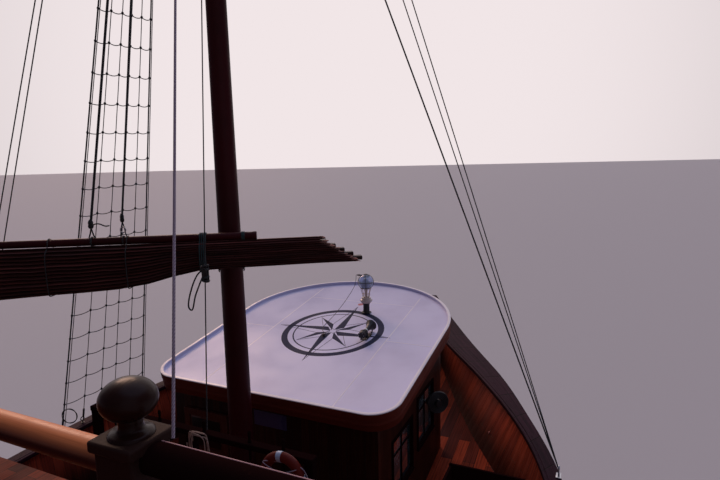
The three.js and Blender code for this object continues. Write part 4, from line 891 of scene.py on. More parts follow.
@dataclass(frozen=True)
class RoofPlane:
    """The canopy's own frame: u forward and w up from its aft edge, v to port, on its white top."""

    aft: float = 8.563
    under: float = 4.811
    thick: float = 0.05
    pitch: float = math.radians(8.2)

    def place(self, points: Array) -> Array:
        """Points (u, v, w) on the ship: (aft + u cos - up sin, v, under + u sin + up cos), up = w + thick."""
        u, v, w = np.moveaxis(points, -1, 0)
        c, s, up = math.cos(self.pitch), math.sin(self.pitch), w + self.thick
        return stack(self.aft + u * c - up * s, v, self.under + u * s + up * c)

    def upright(self, u: float, v: float) -> Place:
        """Moves points given from a foot on the roof, upright ones, to their places on the ship."""
        foot = self.place(np.array([u, v, HAIR]))
        return lambda points: points + foot


ROOF = RoofPlane()
AHEAD = (1.0, 0.0, 0.0)
PAINT_UNDER = -0.001


@dataclass
class Canopy:
    """The white panelled roof with its raised rim, the dark band below it, and the painted compass rose."""

    half: float = 2.0
    corner: float = 0.42
    front: float = 1.8
    length: float = 4.42
    rose_u: float = 2.14
    rose_v: float = -0.1
    rose_radius: float = 1.06

    def outline(self, inset: float) -> Array:
        """The roof's outline moved in, counter-clockwise: two quarter circles aft, half an ellipse ahead."""
        quarter, ahead = np.linspace(0.5, 1.0, 14) * math.pi, np.linspace(-0.5, 0.5, 72) * math.pi
        radius, middle = self.corner - inset, self.half - self.corner
        aft = [stack(self.corner + radius * np.cos(turn), side * middle + radius * np.sin(turn))
               for side, turn in ((1, quarter), (-1, quarter + math.pi / 2))]
        front = stack(self.length - self.front + (self.front - inset) * np.cos(ahead),
                      (self.half - inset) * np.sin(ahead))
        return np.vstack([*aft, front])

    def ring(self, surface: Surface, profile: Array, closed: bool = False) -> Array:
        """Adds a profile of (inset, w) swept round the outline, and returns its points in (u, v, w)."""
        rows = np.stack([stack(*self.outline(inset).T, w) for inset, w in profile])
        surface.grid(ROOF.place(rows), close=closed, wrap=True, flip=not closed)
        return rows

    @staticmethod
    def lid(surface: Surface, rows: Array, top: bool) -> None:
        """Closes the last ring of a swept profile from above, or its first one from below."""
        row, order = (len(rows) - 1, slice(None)) if top else (0, slice(None, None, -1))
        surface.faces.append((row * rows.shape[1] + np.arange(rows.shape[1]))[order][None])
        surface.coords.append(rows[row][order][None, :, :2])

    def shell(self) -> None:
        """White top with its rounded rim, then the painted side and underside, as rings of the outline."""
        profile = mm(0, 43, 0.5, 50, 3, 53.5, 8, 55, 42, 55, 48, 53, 50, 47, 50, 8, 52, 2, 60, 0)
        white, rim, maroon = Surface(), Surface(), Surface()
        # The rim's outer and top faces get the whiter finish: painted highlight.
        self.ring(rim, profile[:6])
        self.lid(white, self.ring(white, profile[5:]), top=True)
        self.lid(maroon, self.ring(maroon, mm(60, -50, 6, -50, 1, -45, 1, 43.5)), top=False)
        white.build("canopy_top", WHITE, replaces=["canopy_roof"], sharp=30.0)
        rim.build("canopy_rim", RIM_HIGHLIGHT_WHITE, sharp=30.0)
        maroon.build("canopy_side", BAND_PAINT, sharp=30.0)

    def seams(self) -> None:
        """Sealed seams between the panels: long strips fore and aft, short ones across, a hair proud."""
        strips = np.array([
            (0.06, 1.03, 3.94, 1.05), (0.06, -1.14, 3.86, -1.12), (2.02, 1.05, 2.034, 1.945),
            (2.02, -1.945, 2.034, -1.14), (3.45, -1.14, 3.462, 1.03),
        ])
        low, high = stack(*strips.T[:2], -0.002), stack(*strips.T[2:], 0.0012)
        Surface(ROOF.place).boxes(low, high).build("canopy_seams", SEALANT, bevel=0.0006)

    def fascia(self) -> None:
        """The dark band under the roof, with a rounded lower edge and a bead along its middle."""
        surface = Surface()
        self.ring(surface, mm(15, -51, 15, -105, 9, -111, 9, -121, 15, -127, 15, -198, 19, -207, 27, -210, 48,
                              -210,
                              60, -200, 60, -51), closed=True)
        surface.build("canopy_band", BAND_PAINT, replaces=["canopy_fascia"], sharp=50.0)

    def rose_points(self, angle: Array, radius: Array, w: float, ahead: float = 0.0) -> Array:
        """Points at angles clockwise from the bow and radii, round the rose's middle or ahead of it."""
        return ROOF.place(stack(self.rose_u + ahead + radius * np.cos(angle),
                                self.rose_v - radius * np.sin(angle), w))

    def rose(self) -> None:
        """An eight-pointed compass rose with two rings of painted lines, and a red north mark."""
        slate, around, r = Surface(), turns(120), self.rose_radius
        for outer, wide in ((0.84, 0.1), (0.66, 0.022)):
            section = ((outer - wide, PAINT_UNDER), (outer - wide, HAIR), (outer, HAIR), (outer, PAINT_UNDER))
            slate.closed(np.stack([self.rose_points(around, k * r, w) for k, w in section]), close=True)
        for k in range(8):
            long, inner, waist = (0.62, 0.26, math.pi / 8) if k % 2 else (1.0, 0.2, math.pi / 4)
            radius, centre = r * np.array([0.05, long, inner]), k * math.pi / 4
            half = np.array([0.0, 0.0, 0.92 * waist])
            slate.closed(np.stack([self.rose_points(centre + half, radius, w) for w in (PAINT_UNDER, HAIR)]))
            outline = self.rose_points(centre - half, radius, 0.0)
            slate.tube(outline[1:], 0.0035, sides=6)
            slate.tube(outline[[0, 2]], 0.0035, sides=6)
        slate.build("compass_rose", SLATE, sharp=20.0)
        disc = [self.rose_points(around, q, w, 1.12 * r) for q, w in mm(1, -1, 52, -1, 55, 0.4, 1, 0.4)]
        Surface().closed(np.stack(disc), close=True).build("rose_north_mark", NORTH_RED)

    def build(self) -> None:
        """Shell, seams, band and rose."""
        self.shell()
        self.seams()
        self.fascia()
        self.rose()


@dataclass
class Searchlight:
    """The glass-globed lamp on its black post: flanged foot, enamel collar, wire guard and cable socket."""

    u: float = 2.998
    v: float = -0.363
    head: float = 0.58
    radius: float = 0.14

    def build(self) -> None:
        """Turned parts about one upright axis, then guard rings and ribs, then the socket."""
        place, centre = ROOF.upright(self.u, self.v), np.array([0.0, 0.0, self.head])
        iron, collar, inside = Surface(place), Surface(place), Surface(place)
        iron.lathe(mm(0, 0, 88, 0, 90, 4, 90, 13, 86, 18, 68, 20, 63, 30, 58, 40, 58, 155, 64, 162, 66, 175,
                      64, 188,
                      60, 192, 0, 192), sides=40)
        for angle in turns(6):
            iron.lathe(mm(0, 12, 7, 12, 7, 21, 5, 23, 0, 23), 0.077 * compass(angle), sides=6)
        guard = self.radius + 0.004
        for z in (-0.1, 0.0):
            reach = math.sqrt(self.radius**2 - z**2) + 0.004
            iron.tube(hoop(centre + (0, 0, z), reach, count=48), 0.0045, closed=True)
        tilt = np.linspace(-0.28 * TURN, 0.25 * TURN, 26)
        for angle in turns(4) + 0.4:
            rib = guard * (np.outer(np.cos(tilt), compass(angle)) + np.outer(np.sin(tilt), (0, 0, 1)))
            iron.tube(centre + rib, 0.0035)
        iron.lathe(mm(0, 0, 30, 0, 34, 6, 30, 14, 12, 20, 0, 20), centre + (0, 0, self.radius - 0.006))
        iron.lathe(mm(6, -70, 13, -68, 13.5, 118, 16, 120, 16, 138, 14, 140, 14.2, 156, 11, 170, 4.5, 170),
                   centre + (0, 0, 0.12), (0, 1, 0), sides=20)
        iron.build("searchlight_ironwork", IRON, replaces=["searchlight"])
        collar.lathe(mm(0, 191, 84, 191, 92, 197, 94, 212, 108, 220, 112, 228, 112, 246, 106, 254, 90, 260,
                        86, 270,
                        88, 282, 84, 290, 50, 295, 45, 312, 0, 313), sides=48)
        for angle in turns(6) + 0.2:
            strut = [reach * compass(angle) + (0, 0, z) for reach,
                     z in mm(66, 295, 68, 350, 82, 410, 98, 468)]
            collar.tube(spline(strut, 16), 0.0055)
        for height, reach in ((0.35, 0.069), (0.47, 0.098)):
            collar.tube(hoop((0, 0, height), reach, count=48), 0.006, closed=True)
        collar.lathe(mm(0, 310, 22, 310, 26, 330, 26, 400, 34, 420, 36, 445, 30, 456, 0, 458))
        collar.build("searchlight_collar", PALE_COLLAR, bevel=0.001)
        tilt = np.linspace(-0.47 * math.pi, 0.5 * math.pi, 30)
        globe = Surface(place).lathe(self.radius * stack(np.cos(tilt), np.sin(tilt)), centre, sides=56)
        globe.build("searchlight_globe", LAMP_GLASS, sharp=80.0)
        inside.lathe(mm(20, -100, 30, -95, 30, -45, 20, -40, 28, -20, 36, 10, 30, 40, 15, 55, 0, 58), centre)
        inside.lathe(mm(50, -105, 75, -60, 90, -20, 88, -20, 72, -62, 48, -107), centre, sides=32)
        inside.build("searchlight_reflector", STEEL)


@dataclass
class Horn:
    """A trumpet horn on its bracket: bell, diaphragm housing with bolts, clamp and foot plate."""

    u: float = 2.08
    v: float = -0.76
    lift: float = 0.115

    def place(self, points: Array) -> Array:
        """Points given from the horn's foot in the roof's own directions."""
        return ROOF.place(points + (self.u, self.v, HAIR))

    def build(self) -> None:
        """A turned bell along u whose wall is thin, on a clamp over a bevelled plate."""
        iron, bright, back = Surface(self.place), Surface(self.place), np.array([-0.19, 0.0, self.lift])
        iron.lathe(mm(10, 0, 56, 0, 60, 8, 60, 75, 66, 82, 66, 94, 52, 100, 36, 130, 32, 200, 38, 270, 50,
                      330, 70, 380,
                      93, 412, 96, 419, 91, 420, 66, 384, 44, 330, 28, 260, 20, 180, 0, 170), back, AHEAD,
                   sides=48)
        iron.boxes([(-0.12, -0.06, 0), (-0.03, -0.022, 0.012)],
                   [(0.12, 0.06, 0.012), (0.03, 0.022, self.lift - 0.012)])
        iron.build("horn_bell", IRON, replaces=["horn"], bevel=0.0015)
        bright.lathe(mm(33, -12, 41, -12, 41, 12, 33, 12), (-0.01, 0, self.lift), AHEAD, sides=32)
        for x, y in ((-0.095, -0.045), (0.095, -0.045), (-0.095, 0.045), (0.095, 0.045)):
            bright.lathe(mm(0, 11, 9, 11, 9, 19, 5, 22, 0, 22), (x, y, 0), sides=6)
        for angle in turns(6):
            bright.lathe(mm(0, -5, 6, -5, 6, 2, 0, 2), back + 0.045 * compass(angle, "yz"), AHEAD, sides=6)
        bright.build("horn_brightwork", STEEL)


CABLE_ROUTE = mm(
    3097.8, -192.5, 693.1, 3100, -175, 695, 3098, -168, 680, 3080, -172, 640, 3030, -180, 590, 2980, -182,
    535,
    2920, -145, 448, 2860, -98, 362, 2790, -40, 270, 2720, 20, 182, 2650, 78, 105, 2580, 125, 46, 2510, 155,
    13,
    2424, 162, 4.8, 2320, 150, 4.8, 2220, 132, 4.8, 2120, 90, 4.8, 2066, 45, 5.5, 2035, 0, 9, 2006, -33, 16,
    1990, -39.6, 19.3, 1973.2, -40, 20, size=3,
)


@dataclass
class Cable:
    """The searchlight's cable, in the roof's frame: out of its socket, down in a slack bow, to the gland."""

    radius: float = 0.004
    gland_foot: tuple[float, float, float] = (1.917, -0.04, 0.0)
    mouth: float = 0.02

    def build(self) -> None:
        """The turned gland with its side mouth, and a curve through the route."""
        gland, foot = Surface(ROOF.place), np.array(self.gland_foot)
        gland.lathe(mm(0, 0, 30, 0, 31, 3, 30, 8, 25, 10, 23.5, 40, 20, 47, 14, 50, 0, 50), foot, sides=28)
        gland.lathe(mm(6, 0, 17.5, 4, 17.5, 20, 13, 24, 11.5, 40, 9, 52, 5.5, 55),
                    foot + (0.005, 0, self.mouth), AHEAD)
        gland.build("cable_gland_turned", IRON, replaces=["cable_gland"])
        path = spline(ROOF.place(CABLE_ROUTE), 160)
        surface = Surface().tube(path, self.radius, sides=12)
        cable = surface.build("searchlight_lead", RUBBER, replaces=["searchlight_cable"], sharp=80.0)
        tuple(path[0])
        [tuple(point) for point in path]


@dataclass
class House:
    """The foredeck house under the canopy: boarded walls, framed windows, a panelled door, a bare plate."""

    aft: float = 8.774
    fore: float = 11.7
    half: float = 1.72

    def build(self) -> None:
        """Walls keep their solids; casings, panes, a ledge and the door are new."""
        # The walls take the darkened boards: painted shade.
        coat(SHADED_HOUSE_BOARDS, "foredeck_house_aft_wall", "foredeck_house_front_wall")
        coat(SHADED_HOUSE_SIDE_BOARDS, "foredeck_house_port_wall", "foredeck_house_starboard_wall")
        step, lift = 1.1, 1.1 * math.tan(ROOF.pitch)
        sides = [(9.3 + step * k, 3.35 + lift * k, 10.1 + step * k, 4.15 + lift * k) for k in range(2)]
        # The house's window casings take the near-black painted-shade finish.
        Windows("house", [
            *[Opening("y", side * self.half, side, *hole) for side in SIDES for hole in sides],
            *[Opening("x", self.fore, 1, a0, 3.75, a1, 4.55) for a0, a1 in ((-1.2, -0.15), (0.15, 1.2))],
        ], PAINTED_SHADE_BLACK).build()
        plate = Surface().boxes((self.aft, -0.33, 4.315), (self.aft + 0.006, 0.22, 4.54))
        plate.build("bare_plate", PLATE, bevel=0.002)
        Door("house_door", Body.HOUSE_DOOR, "foredeck_house_door", "x", self.aft, -1, (0.69, 2.48),
             (1.5, 4.37),
             hinge_low=False).build()


@dataclass(frozen=True)
class Opening:
    """A window in a wall: the wall's normal axis and outer face, which way is out, and its corners."""

    axis: str
    face: float
    out: int
    a0: float = 0.0
    z0: float = 0.0
    a1: float = 0.0
    z1: float = 0.0

    def place(self, points: Array) -> Array:
        """Points (along the wall, outwards from its face, up) on the ship."""
        along, outwards, up = points[..., 0], self.face + self.out * points[..., 1], points[..., 2]
        return stack(outwards, along, up) if self.axis == "x" else stack(along, outwards, up)


@dataclass
class Windows:
    """A set of windows: moulded casings round the holes, a sill, and panes set back in them."""

    name: str
    openings: list[Opening]
    finish: Finish = TRIM
    wide: float = 0.045
    mullion: float = 0.022

    @staticmethod
    def casing(surface: Surface, hole: Opening) -> None:
        """A moulding swept round the hole: (distance inside the hole, proud of the wall) at each corner."""
        corners = np.array([(0, 0), (1, 0), (1, 1), (0, 1)])
        low, high, rows = np.array([hole.a0, hole.z0]), np.array([hole.a1, hole.z1]), []
        for inset, proud in mm(12, -80, 0, 14, -4, 18, -31, 18, -37, 9, -45, 7, -45, -2):
            along, up = (low + inset + corners * (high - low - 2 * inset)).T
            rows.append(stack(along, proud, up))
        surface.closed(hole.place(np.stack(rows)), close=True)

    def build(self) -> None:
        """All casings and mullions as one piece, all panes as another."""
        trim, glass, h, w = Surface(), Surface(), self.mullion / 2, self.wide
        for hole in self.openings:
            self.casing(trim, hole)
            trim.place = glass.place = hole.place
            a0, z0, a1, z1 = hole.a0, hole.z0, hole.a1, hole.z1
            middle, bar = (a0 + a1) / 2, z0 + 0.68 * (z1 - z0)
            trim.boxes([(middle - h, -0.05, z0), (a0, -0.046, bar - h)],
                       [(middle + h, -0.014, z1), (a1, -0.018, bar + h)])
            trim.boxes((a0 - w, 0.001, z0 - w), (a1 + w, 0.03, z0 - w + 0.018))
            glass.boxes((a0, -0.036, z0), (a1, -0.03, z1))
        trim.build(f"{self.name}_window_casings", self.finish, sharp=30.0)
        glass.build(f"{self.name}_window_panes", PANE)


@dataclass
class Door:
    """A framed and panelled leaf with hinge barrels and a lever handle, hung outside its wall."""

    name: str
    body: Body
    node: str
    axis: str
    face: float
    out: int
    low: tuple[float, float]
    high: tuple[float, float]
    hinge_low: bool
    thick: float = 0.05
    stile: float = 0.1
    panels: int = 3

    def leaf(self, wood: Surface) -> None:
        """Stiles and rails, and sunk panels with raised fields, both faces alike."""
        (a0, z0), (a1, z1), wide, h = self.low, self.high, self.stile, self.stile / 2
        b0, b1 = a0 + wide, a1 - wide
        cuts = np.linspace(z0 + wide, z1 - wide, self.panels + 1)
        members = [(a0, z0, b0, z1), (b1, z0, a1, z1), (b0, z0, b1, z0 + wide), (b0, z1 - wide, b1, z1)]
        low_a, low_z, high_a, high_z = np.array(members + [(b0, z - h, b1, z + h) for z in cuts[1:-1]]).T
        wood.boxes(stack(low_a, 0, low_z), stack(high_a, self.thick, high_z))
        for k in range(self.panels):
            foot, head = cuts[k] + h * (k > 0), cuts[k + 1] - h * (k < self.panels - 1)
            wood.boxes((b0, 0.016, foot), (b1, 0.034, head))
            for steps in (((0.014, 0.034), (0.035, 0.042)), ((0.014, 0.016), (0.035, 0.008))):
                rows = [stack((b0 + inset, b1 - inset, b1 - inset, b0 + inset), y,
                              (foot + inset, foot + inset, head - inset, head - inset)) for inset, y in steps]
                wood.closed(wood.place(np.stack(rows)))

    def fittings(self, metal: Surface) -> None:
        """A plate with a lever handle on the free side; barrels and straps on the hinge's side."""
        (a0, z0), (a1, z1), out = self.low, self.high, self.thick
        free, hung, way = (a1 - 0.05, a0, -1) if self.hinge_low else (a0 + 0.05, a1, 1)
        middle = (z0 + z1) / 2
        metal.boxes((free - 0.016, out - 0.001, middle - 0.08), (free + 0.016, out + 0.003, middle + 0.08))
        lever = [(free, out, middle), (free, out + 0.03, middle), (free + 0.01 * way, out + 0.04, middle),
                 (free + 0.1 * way, out + 0.04, middle - 0.004)]
        metal.tube(spline(lever, 20), 0.008, sides=12)
        for z in (z0 + share * (z1 - z0) for share in (0.2, 0.8)):
            metal.tube([(hung - 0.012 * way, out - 0.001, z + end) for end in (-0.045, 0.045)], 0.009,
                       sides=12)
            near, far = sorted([hung - 0.02 * way, hung - 0.16 * way])
            metal.boxes((near, out - 0.001, z - 0.02), (far, out + 0.003, z + 0.02))

    def build(self) -> None:
        """The leaf, then its metal."""
        place = Opening(self.axis, self.face, self.out).place
        wood, metal = Surface(place), Surface(place)
        self.leaf(wood)
        self.fittings(metal)
        wood.build(f"{self.name}_leaf", DOOR_VARNISH, self.body, [self.node], bevel=0.003)
        metal.build(f"{self.name}_metal", BRONZE, self.body, bevel=0.001)


@dataclass(frozen=True)
class Mast:
    """A tapered pole mast with its truck, iron hoops and deck collar."""

    name: str
    x: float
    foot: float
    top: float
    low: float
    high: float
    hoops: tuple[float, ...]
    collar: float | None = None
    cleats: tuple[float, ...] = ()
    sunk: float = 0.3
    cleat_height: float = 6.735

    def radius(self, z: Value) -> Value:
        """The pole's radius at a height, straight from low to high."""
        start = self.foot - self.sunk
        return self.low + (self.high - self.low) * (z - start) / (self.top - start)

    def cleat(self, iron: Surface, angle: float) -> None:
        """A horned cleat on the side of the mast at an angle: its horns, its foot and its waist."""
        side, across, height = compass(angle), compass(angle + math.pi / 2), self.cleat_height
        base = np.array([self.x, 0.0, height]) + (float(self.radius(height)) + 0.004) * side
        horn = [base + out * side + (0, 0, up) for out, up in mm(4, -36, 10, -14, 10, 0, 10, 14, 4, 36)]
        iron.tube(spline(horn, 24), np.interp(np.linspace(0, 1, 24), [0, 0.5, 1], [0.006, 0.01, 0.006]),
                  sides=12)
        iron.tube([base - 0.03 * side, base + 0.006 * side], 0.013, sides=12)
        iron.tube([base - 0.015 * across, base + 0.015 * across], 0.009, sides=10)

    def build(self) -> None:
        """Pole and truck turned about the mast's axis, then hoops, cleats and the collar of iron."""
        z, rim, iron = np.linspace(self.foot - 0.02, self.top - 0.02, 90), self.high + 0.05, Surface()
        truck = stack((rim - 0.012, rim, rim, rim - 0.01, rim * 0.6, 0.0),
                      self.top + np.array([-0.02, -0.01, 0.05, 0.066, 0.077, 0.08]))
        pole = Surface().lathe(np.vstack([stack(self.radius(z), z), truck]), (self.x, 0, 0), sides=56)
        pole.build(f"{self.name}_pole", MAST_PAINT, replaces=[self.name], sharp=40.0)
        for height in self.hoops:
            r = float(self.radius(height))
            hoop_section = mm(-4, -35, 5, -35, 7, -31, 7, 31, 5, 35, -4, 35) + (r, 0)
            iron.lathe(hoop_section, (self.x, 0, height), sides=48)
            iron.boxes((self.x - r - 0.03, -0.012, height - 0.022),
                       (self.x - r + 0.004, 0.012, height + 0.022))
        for angle in self.cleats:
            self.cleat(iron, angle)
        if self.collar is not None:
            iron.lathe(mm(300, 0, 360, 0, 360, 20, 330, 30, 310, 75, 290, 90, 100, 90, 100, 0),
                       (self.x, 0, self.collar + HAIR), sides=56)
        iron.build(f"{self.name}_hoops", IRON, bevel=0.0015)


@dataclass
class Sail:
    """A lowered junk sail: folded cloth between its yard and stacked battens, with lashings and parrels.

    Its own frame stands on the mast's axis: the leech lies towards -X and the cloth on the -Y side.
    """

    name: str
    body: Body
    mast: Mast
    yaw: float
    luff: float
    leech: float
    yard: tuple[float, float]
    top: float
    tuck: float
    foot: float
    flat: tuple[float, float]
    lifts: tuple[tuple[float, float], ...] = ()
    seed: int = 7
    batten_wide: float = 0.1
    cloth_wide: float = 0.27
    layers: int = 26
    step: float = 0.055
    along: int = 150
    per_fold: int = 10

    def place(self, points: Array) -> Array:
        """Points of the sail's frame on the ship: turned by the yaw about the mast."""
        c, s = math.cos(self.yaw), math.sin(self.yaw)
        x, y, z = np.moveaxis(points, -1, 0)
        return stack(self.mast.x + c * x - s * y, s * x + c * y, z)

    def near(self) -> float:
        """How far the battens' nearer side stands from the mast's axis."""
        return -(float(self.mast.radius(self.tuck)) + 0.022)

    def section(self, x: Array) -> tuple[Array, Array, Array]:
        """Foot height, top height and width of the bundle at places along it."""
        part = x / self.leech
        belly = np.interp(part, [-1.0, -0.8, -0.62, -0.49, -0.4, -0.3, -0.22, -0.15, -0.08, 0.0],
                          [0.82, 1.0, 0.75, 0.66, 0.62, 0.55, 0.4, 0.14, -0.05, -0.1])
        wide = np.interp(part, [-1.0, -0.65, -0.35, 0.0, 0.3], [0.8, 1.0, 1.0, 0.9, 0.6]) * self.cloth_wide
        top = self.top - 0.1 * np.clip(-part - 0.8, 0.0, 1.0)
        return self.tuck - (self.tuck - self.foot) * belly, top, wide

    def cloth(self) -> None:
        """The cloth lies in folds: at turn t, y = mid - half cos(pi t) and z = foot + high t / layers.

        Each fold's end is drawn in or out and sags by smooth noise along the sail, and the outermost
        folds are narrower, so that the bundle is round. At the luff the lower folds reach further and end
        unevenly.
        """
        m, n, folds = self.along, self.layers * self.per_fold + 1, self.layers
        t = np.linspace(0.0, folds, n)[None, :]
        share, k, apart = t / folds, np.rint(t).astype(int), np.abs(t - np.rint(t)) * 2.0
        ragged = 0.06 * noise_1d(n, 34, self.seed + 3)[None, :]
        luff = self.luff - 0.1 + 0.47 * (1.0 - share) ** 1.15 + ragged
        x = -self.leech + np.linspace(0.0, 1.0, m)[:, None] * (luff + self.leech)
        foot, top, wide = self.section(x)
        draw = np.stack([noise_1d(m, 9, self.seed + 31 * j) for j in range(folds + 1)], axis=1)
        offset = np.random.default_rng(self.seed).uniform(0.0, 0.4, folds + 1)
        slack = np.clip(0.42 * draw + offset, 0.0, 0.8)[:, k[0]] * (1 - apart**2)
        half = 0.5 * wide * (1.0 - 0.35 * np.abs(2 * share - 1) ** 6)
        middle = self.near() - self.batten_wide - 0.0003 - 0.5 * wide - 0.006
        y = middle - (half - 0.004) * np.cos(np.pi * t) * (1.0 - 0.32 * slack)
        ripple = 0.006 * noise_1d(m, 22, self.seed + 5)[:, None] * np.sin(np.pi * share)
        z = foot + 0.006 + (top - foot + 0.004) * share + ripple
        droop = 0.35 * (top - foot) / folds * (1 - apart**2) * np.where(k % 2 == 1, -1.0, -0.6)
        surface = Surface().grid(self.place(stack(x, y, z + droop)), flip=True)
        sail = surface.build(f"{self.name}_canvas", CANVAS, self.body, [f"{self.name}_sail"], sharp=80.0)
        thick = sail.modifiers.new("cloth_thickness", "SOLIDIFY")
        thick.thickness, thick.offset = 0.002, 0.0

    def spars(self) -> None:
        """Rounded battens, the tapered yard with its end bands, and two beaded parrels round the mast."""
        near, wood, k = self.near(), Surface(self.place), np.arange(5)
        z = self.tuck + 0.02 + k * self.step
        wood.boxes(stack(-self.leech - 0.05, near - self.batten_wide, z + 0.002),
                   stack(self.luff + (4 - k) * 0.11, near, z + self.step - 0.002))
        for height in (self.tuck, self.tuck + 3 * self.step):
            path = hoop((0, 0, height + 0.022), float(self.mast.radius(height)) + 0.022, count=64)
            wood.tube(path, 0.006, closed=True)
            wood.lathes(mm(1, -18, 9, -16, 15.5, -9, 17.5, 0, 15.5, 9, 9, 16, 1, 18), self.place(path[::4]),
                        sides=10)
        wood.build(f"{self.name}_batten_stack", TRIM, self.body, [f"{self.name}_battens"], bevel=0.012)
        (y, z0), length, share = self.yard_line(), sum(self.yard), np.linspace(0.0, 1.0, 40)
        profile = np.vstack([
            mm(0, 0, 38, 0, 42, 10, 42, 50, 39.5, 52),
            stack(0.0395 + 0.0085 * share, 0.052 + share * (length - 0.104)),
            mm(50.5, -50, 52, -10, 48, 0, 0, 0) + (0, length),
        ])
        spar = Surface(self.place).lathe(profile, (-self.yard[1], y, z0), AHEAD, sides=28)
        spar.build(f"{self.name}_yard_spar", MAST_PAINT, self.body, [f"{self.name}_yard"], sharp=40.0)

    def yard_line(self) -> tuple[float, float]:
        """Across and height of the yard's middle."""
        return self.near() - self.batten_wide - 0.0003 - 0.475 * self.cloth_wide, self.top + 0.0476

    def bundle_loop(self, x: float, slack: float) -> Array:
        """A lashing drawn tight round cloth, battens and yard: a closed curve through its corners."""
        foot, top, wide = (float(v) for v in self.section(np.array(x)))
        yard, z = self.yard_line()
        y1, y0 = self.near() + slack, self.near() - self.batten_wide - wide - slack
        low = min(foot, self.tuck + 0.02) - slack
        corners = [(y1, low + 0.02), (y1, top - 0.12), (yard + 0.075, top), (yard + 0.05, z + 0.03),
                   (yard, z + 0.05 + slack), (yard - 0.05, z + 0.03), (yard - 0.075, top),
                   (y0, top - 0.06), (y0, low + 0.02), (y0 + 0.02, low), (y1 - 0.02, low)]
        return spline(stack(x, *np.array(corners).T), 96, closed=True)

    def lashings(self) -> None:
        """Dark gaskets along the bundle, teal turns beside the mast, a teal whipping on the yard alone."""
        dark, teal = Surface(self.place), Surface(self.place)
        for x in np.arange(-self.leech + 0.4, -0.8, 0.85):
            dark.tube(self.bundle_loop(float(x), 0.002), 0.006, closed=True)
        for x in (-0.29, -0.268, -0.246, -0.225):
            teal.tube(self.bundle_loop(x, 0.005), 0.0065, closed=True)
        for x in (0.19, 0.203, 0.216):
            teal.tube(hoop((x, *self.yard_line()), 0.05, "yz"), 0.006, closed=True)
        dark.build(f"{self.name}_gaskets", DARK_ROPE, self.body, sharp=80.0)
        teal.build(f"{self.name}_lashings", TEAL_ROPE, self.body, sharp=80.0)

    def lift_lines(self) -> None:
        """Topping lifts from the bundle to the masthead, each with a knot and a swivel above its eye."""
        ropes, rings = Surface(self.place), Surface(self.place)
        (y, z), head_z = self.yard_line(), self.mast.top - 0.5
        reach = float(self.mast.radius(head_z)) + 0.02
        for index, (u, radius) in enumerate(self.lifts):
            foot = np.array([-u, y, z + 0.2 + 0.06 * index])
            head = (-0.04 - 0.02 * index, -reach, head_z + 0.05 * index)
            ropes.tube(straight(foot, head, 40), radius, sides=10)
            knot = stack(radius * np.array([0, 1.5, 2.3, 1.8, 2.1, 1, 0]),
                         (-0.05, -0.046, -0.02, 0, 0.022, 0.055, 0.055))
            ropes.lathe(knot, foot, sides=16)
            for lean in (-0.016, 0.016):
                leg = [foot - (0, 0, 0.04), foot + (lean, 0, -0.11), (-u + 2 * lean, y, z + 0.048)]
                ropes.tube(spline(leg, 20), radius * 0.6)
            ropes.tube(hoop((-u, y, z), 0.052, "yz"), radius * 0.7, closed=True)
            if index:
                rings.tube(hoop((-u, y, z + 0.125), 0.03, "xz"), 0.007, sides=10, closed=True)
            else:
                ropes.tube(spline(foot + mm(0, 0, -10, 80, 0, 5, 160, 0, -25, 200, 0, -20, size=3), 24),
                           0.0075)
        ropes.build(f"{self.name}_topping_lifts", DARK_ROPE, self.body, sharp=80.0)
        if self.lifts[1:]:
            rings.build(f"{self.name}_lift_eyes", STEEL, self.body, sharp=80.0)

    def build(self) -> None:
        """Spars first, since the cloth rests on them."""
        self.spars()
        self.cloth()
        self.lashings()
        self.lift_lines()


@dataclass
class Shrouds:
    """Standing rigging of one mast: ropes with deadeyes from the rail to a band below the masthead."""

    mast: Mast
    node: str
    feet: Array
    radius: float
    head: float = 0.6

    def head_point(self, foot: Array, height: float) -> Array:
        """Where a shroud meets the band, on the side of the mast that its foot is on."""
        way = unit(foot[:2] - (self.mast.x, 0.0))
        reach = float(self.mast.radius(height)) + 0.032
        return np.array([self.mast.x + reach * way[0], reach * way[1], height])

    def band(self, surface: Surface, height: float) -> None:
        """A closed iron band round the mast."""
        section = mm(1, -50, 40, -50, 48, -42, 48, 42, 40, 50, 1, 50) + (float(self.mast.radius(height)), 0)
        surface.lathe(section, (self.mast.x, 0, height), sides=48)

    def build(self) -> None:
        """Ropes, deadeye pairs with their lanyards, and the band."""
        ropes, iron, height = Surface(), Surface(), self.mast.top - self.head
        for foot in self.feet:
            head = self.head_point(foot, height)
            way = unit(head - foot)
            ropes.tube(straight(foot, head, 30), self.radius, sides=10)
            ends = [foot + distance * way for distance in (0.14, 0.5)]
            out = unit(foot * (1, 1, 0) - (self.mast.x, 0, 0))
            for at in ends:
                iron.lathe(mm(1, -20, 35, -20, 45, -12, 41, 0, 45, 12, 35, 20, 1, 20), at,
                           unit(out - np.dot(out, way) * way), sides=24)
            side = unit(np.cross(way, foot * (1, 1, 0) - (self.mast.x, 0, 0)))
            for k in (-1, 1):
                ropes.tube([end + 0.022 * k * side for end in ends], 0.005)
            iron.boxes(foot - (0.03, 0.02, 0.03), foot + (0.03, 0.02, 0.01))
        self.band(iron, height)
        ropes.build(f"{self.node}_ropes", DARK_ROPE, replaces=[self.node], sharp=80.0)
        iron.build(f"{self.node}_deadeyes", IRON, bevel=0.001)


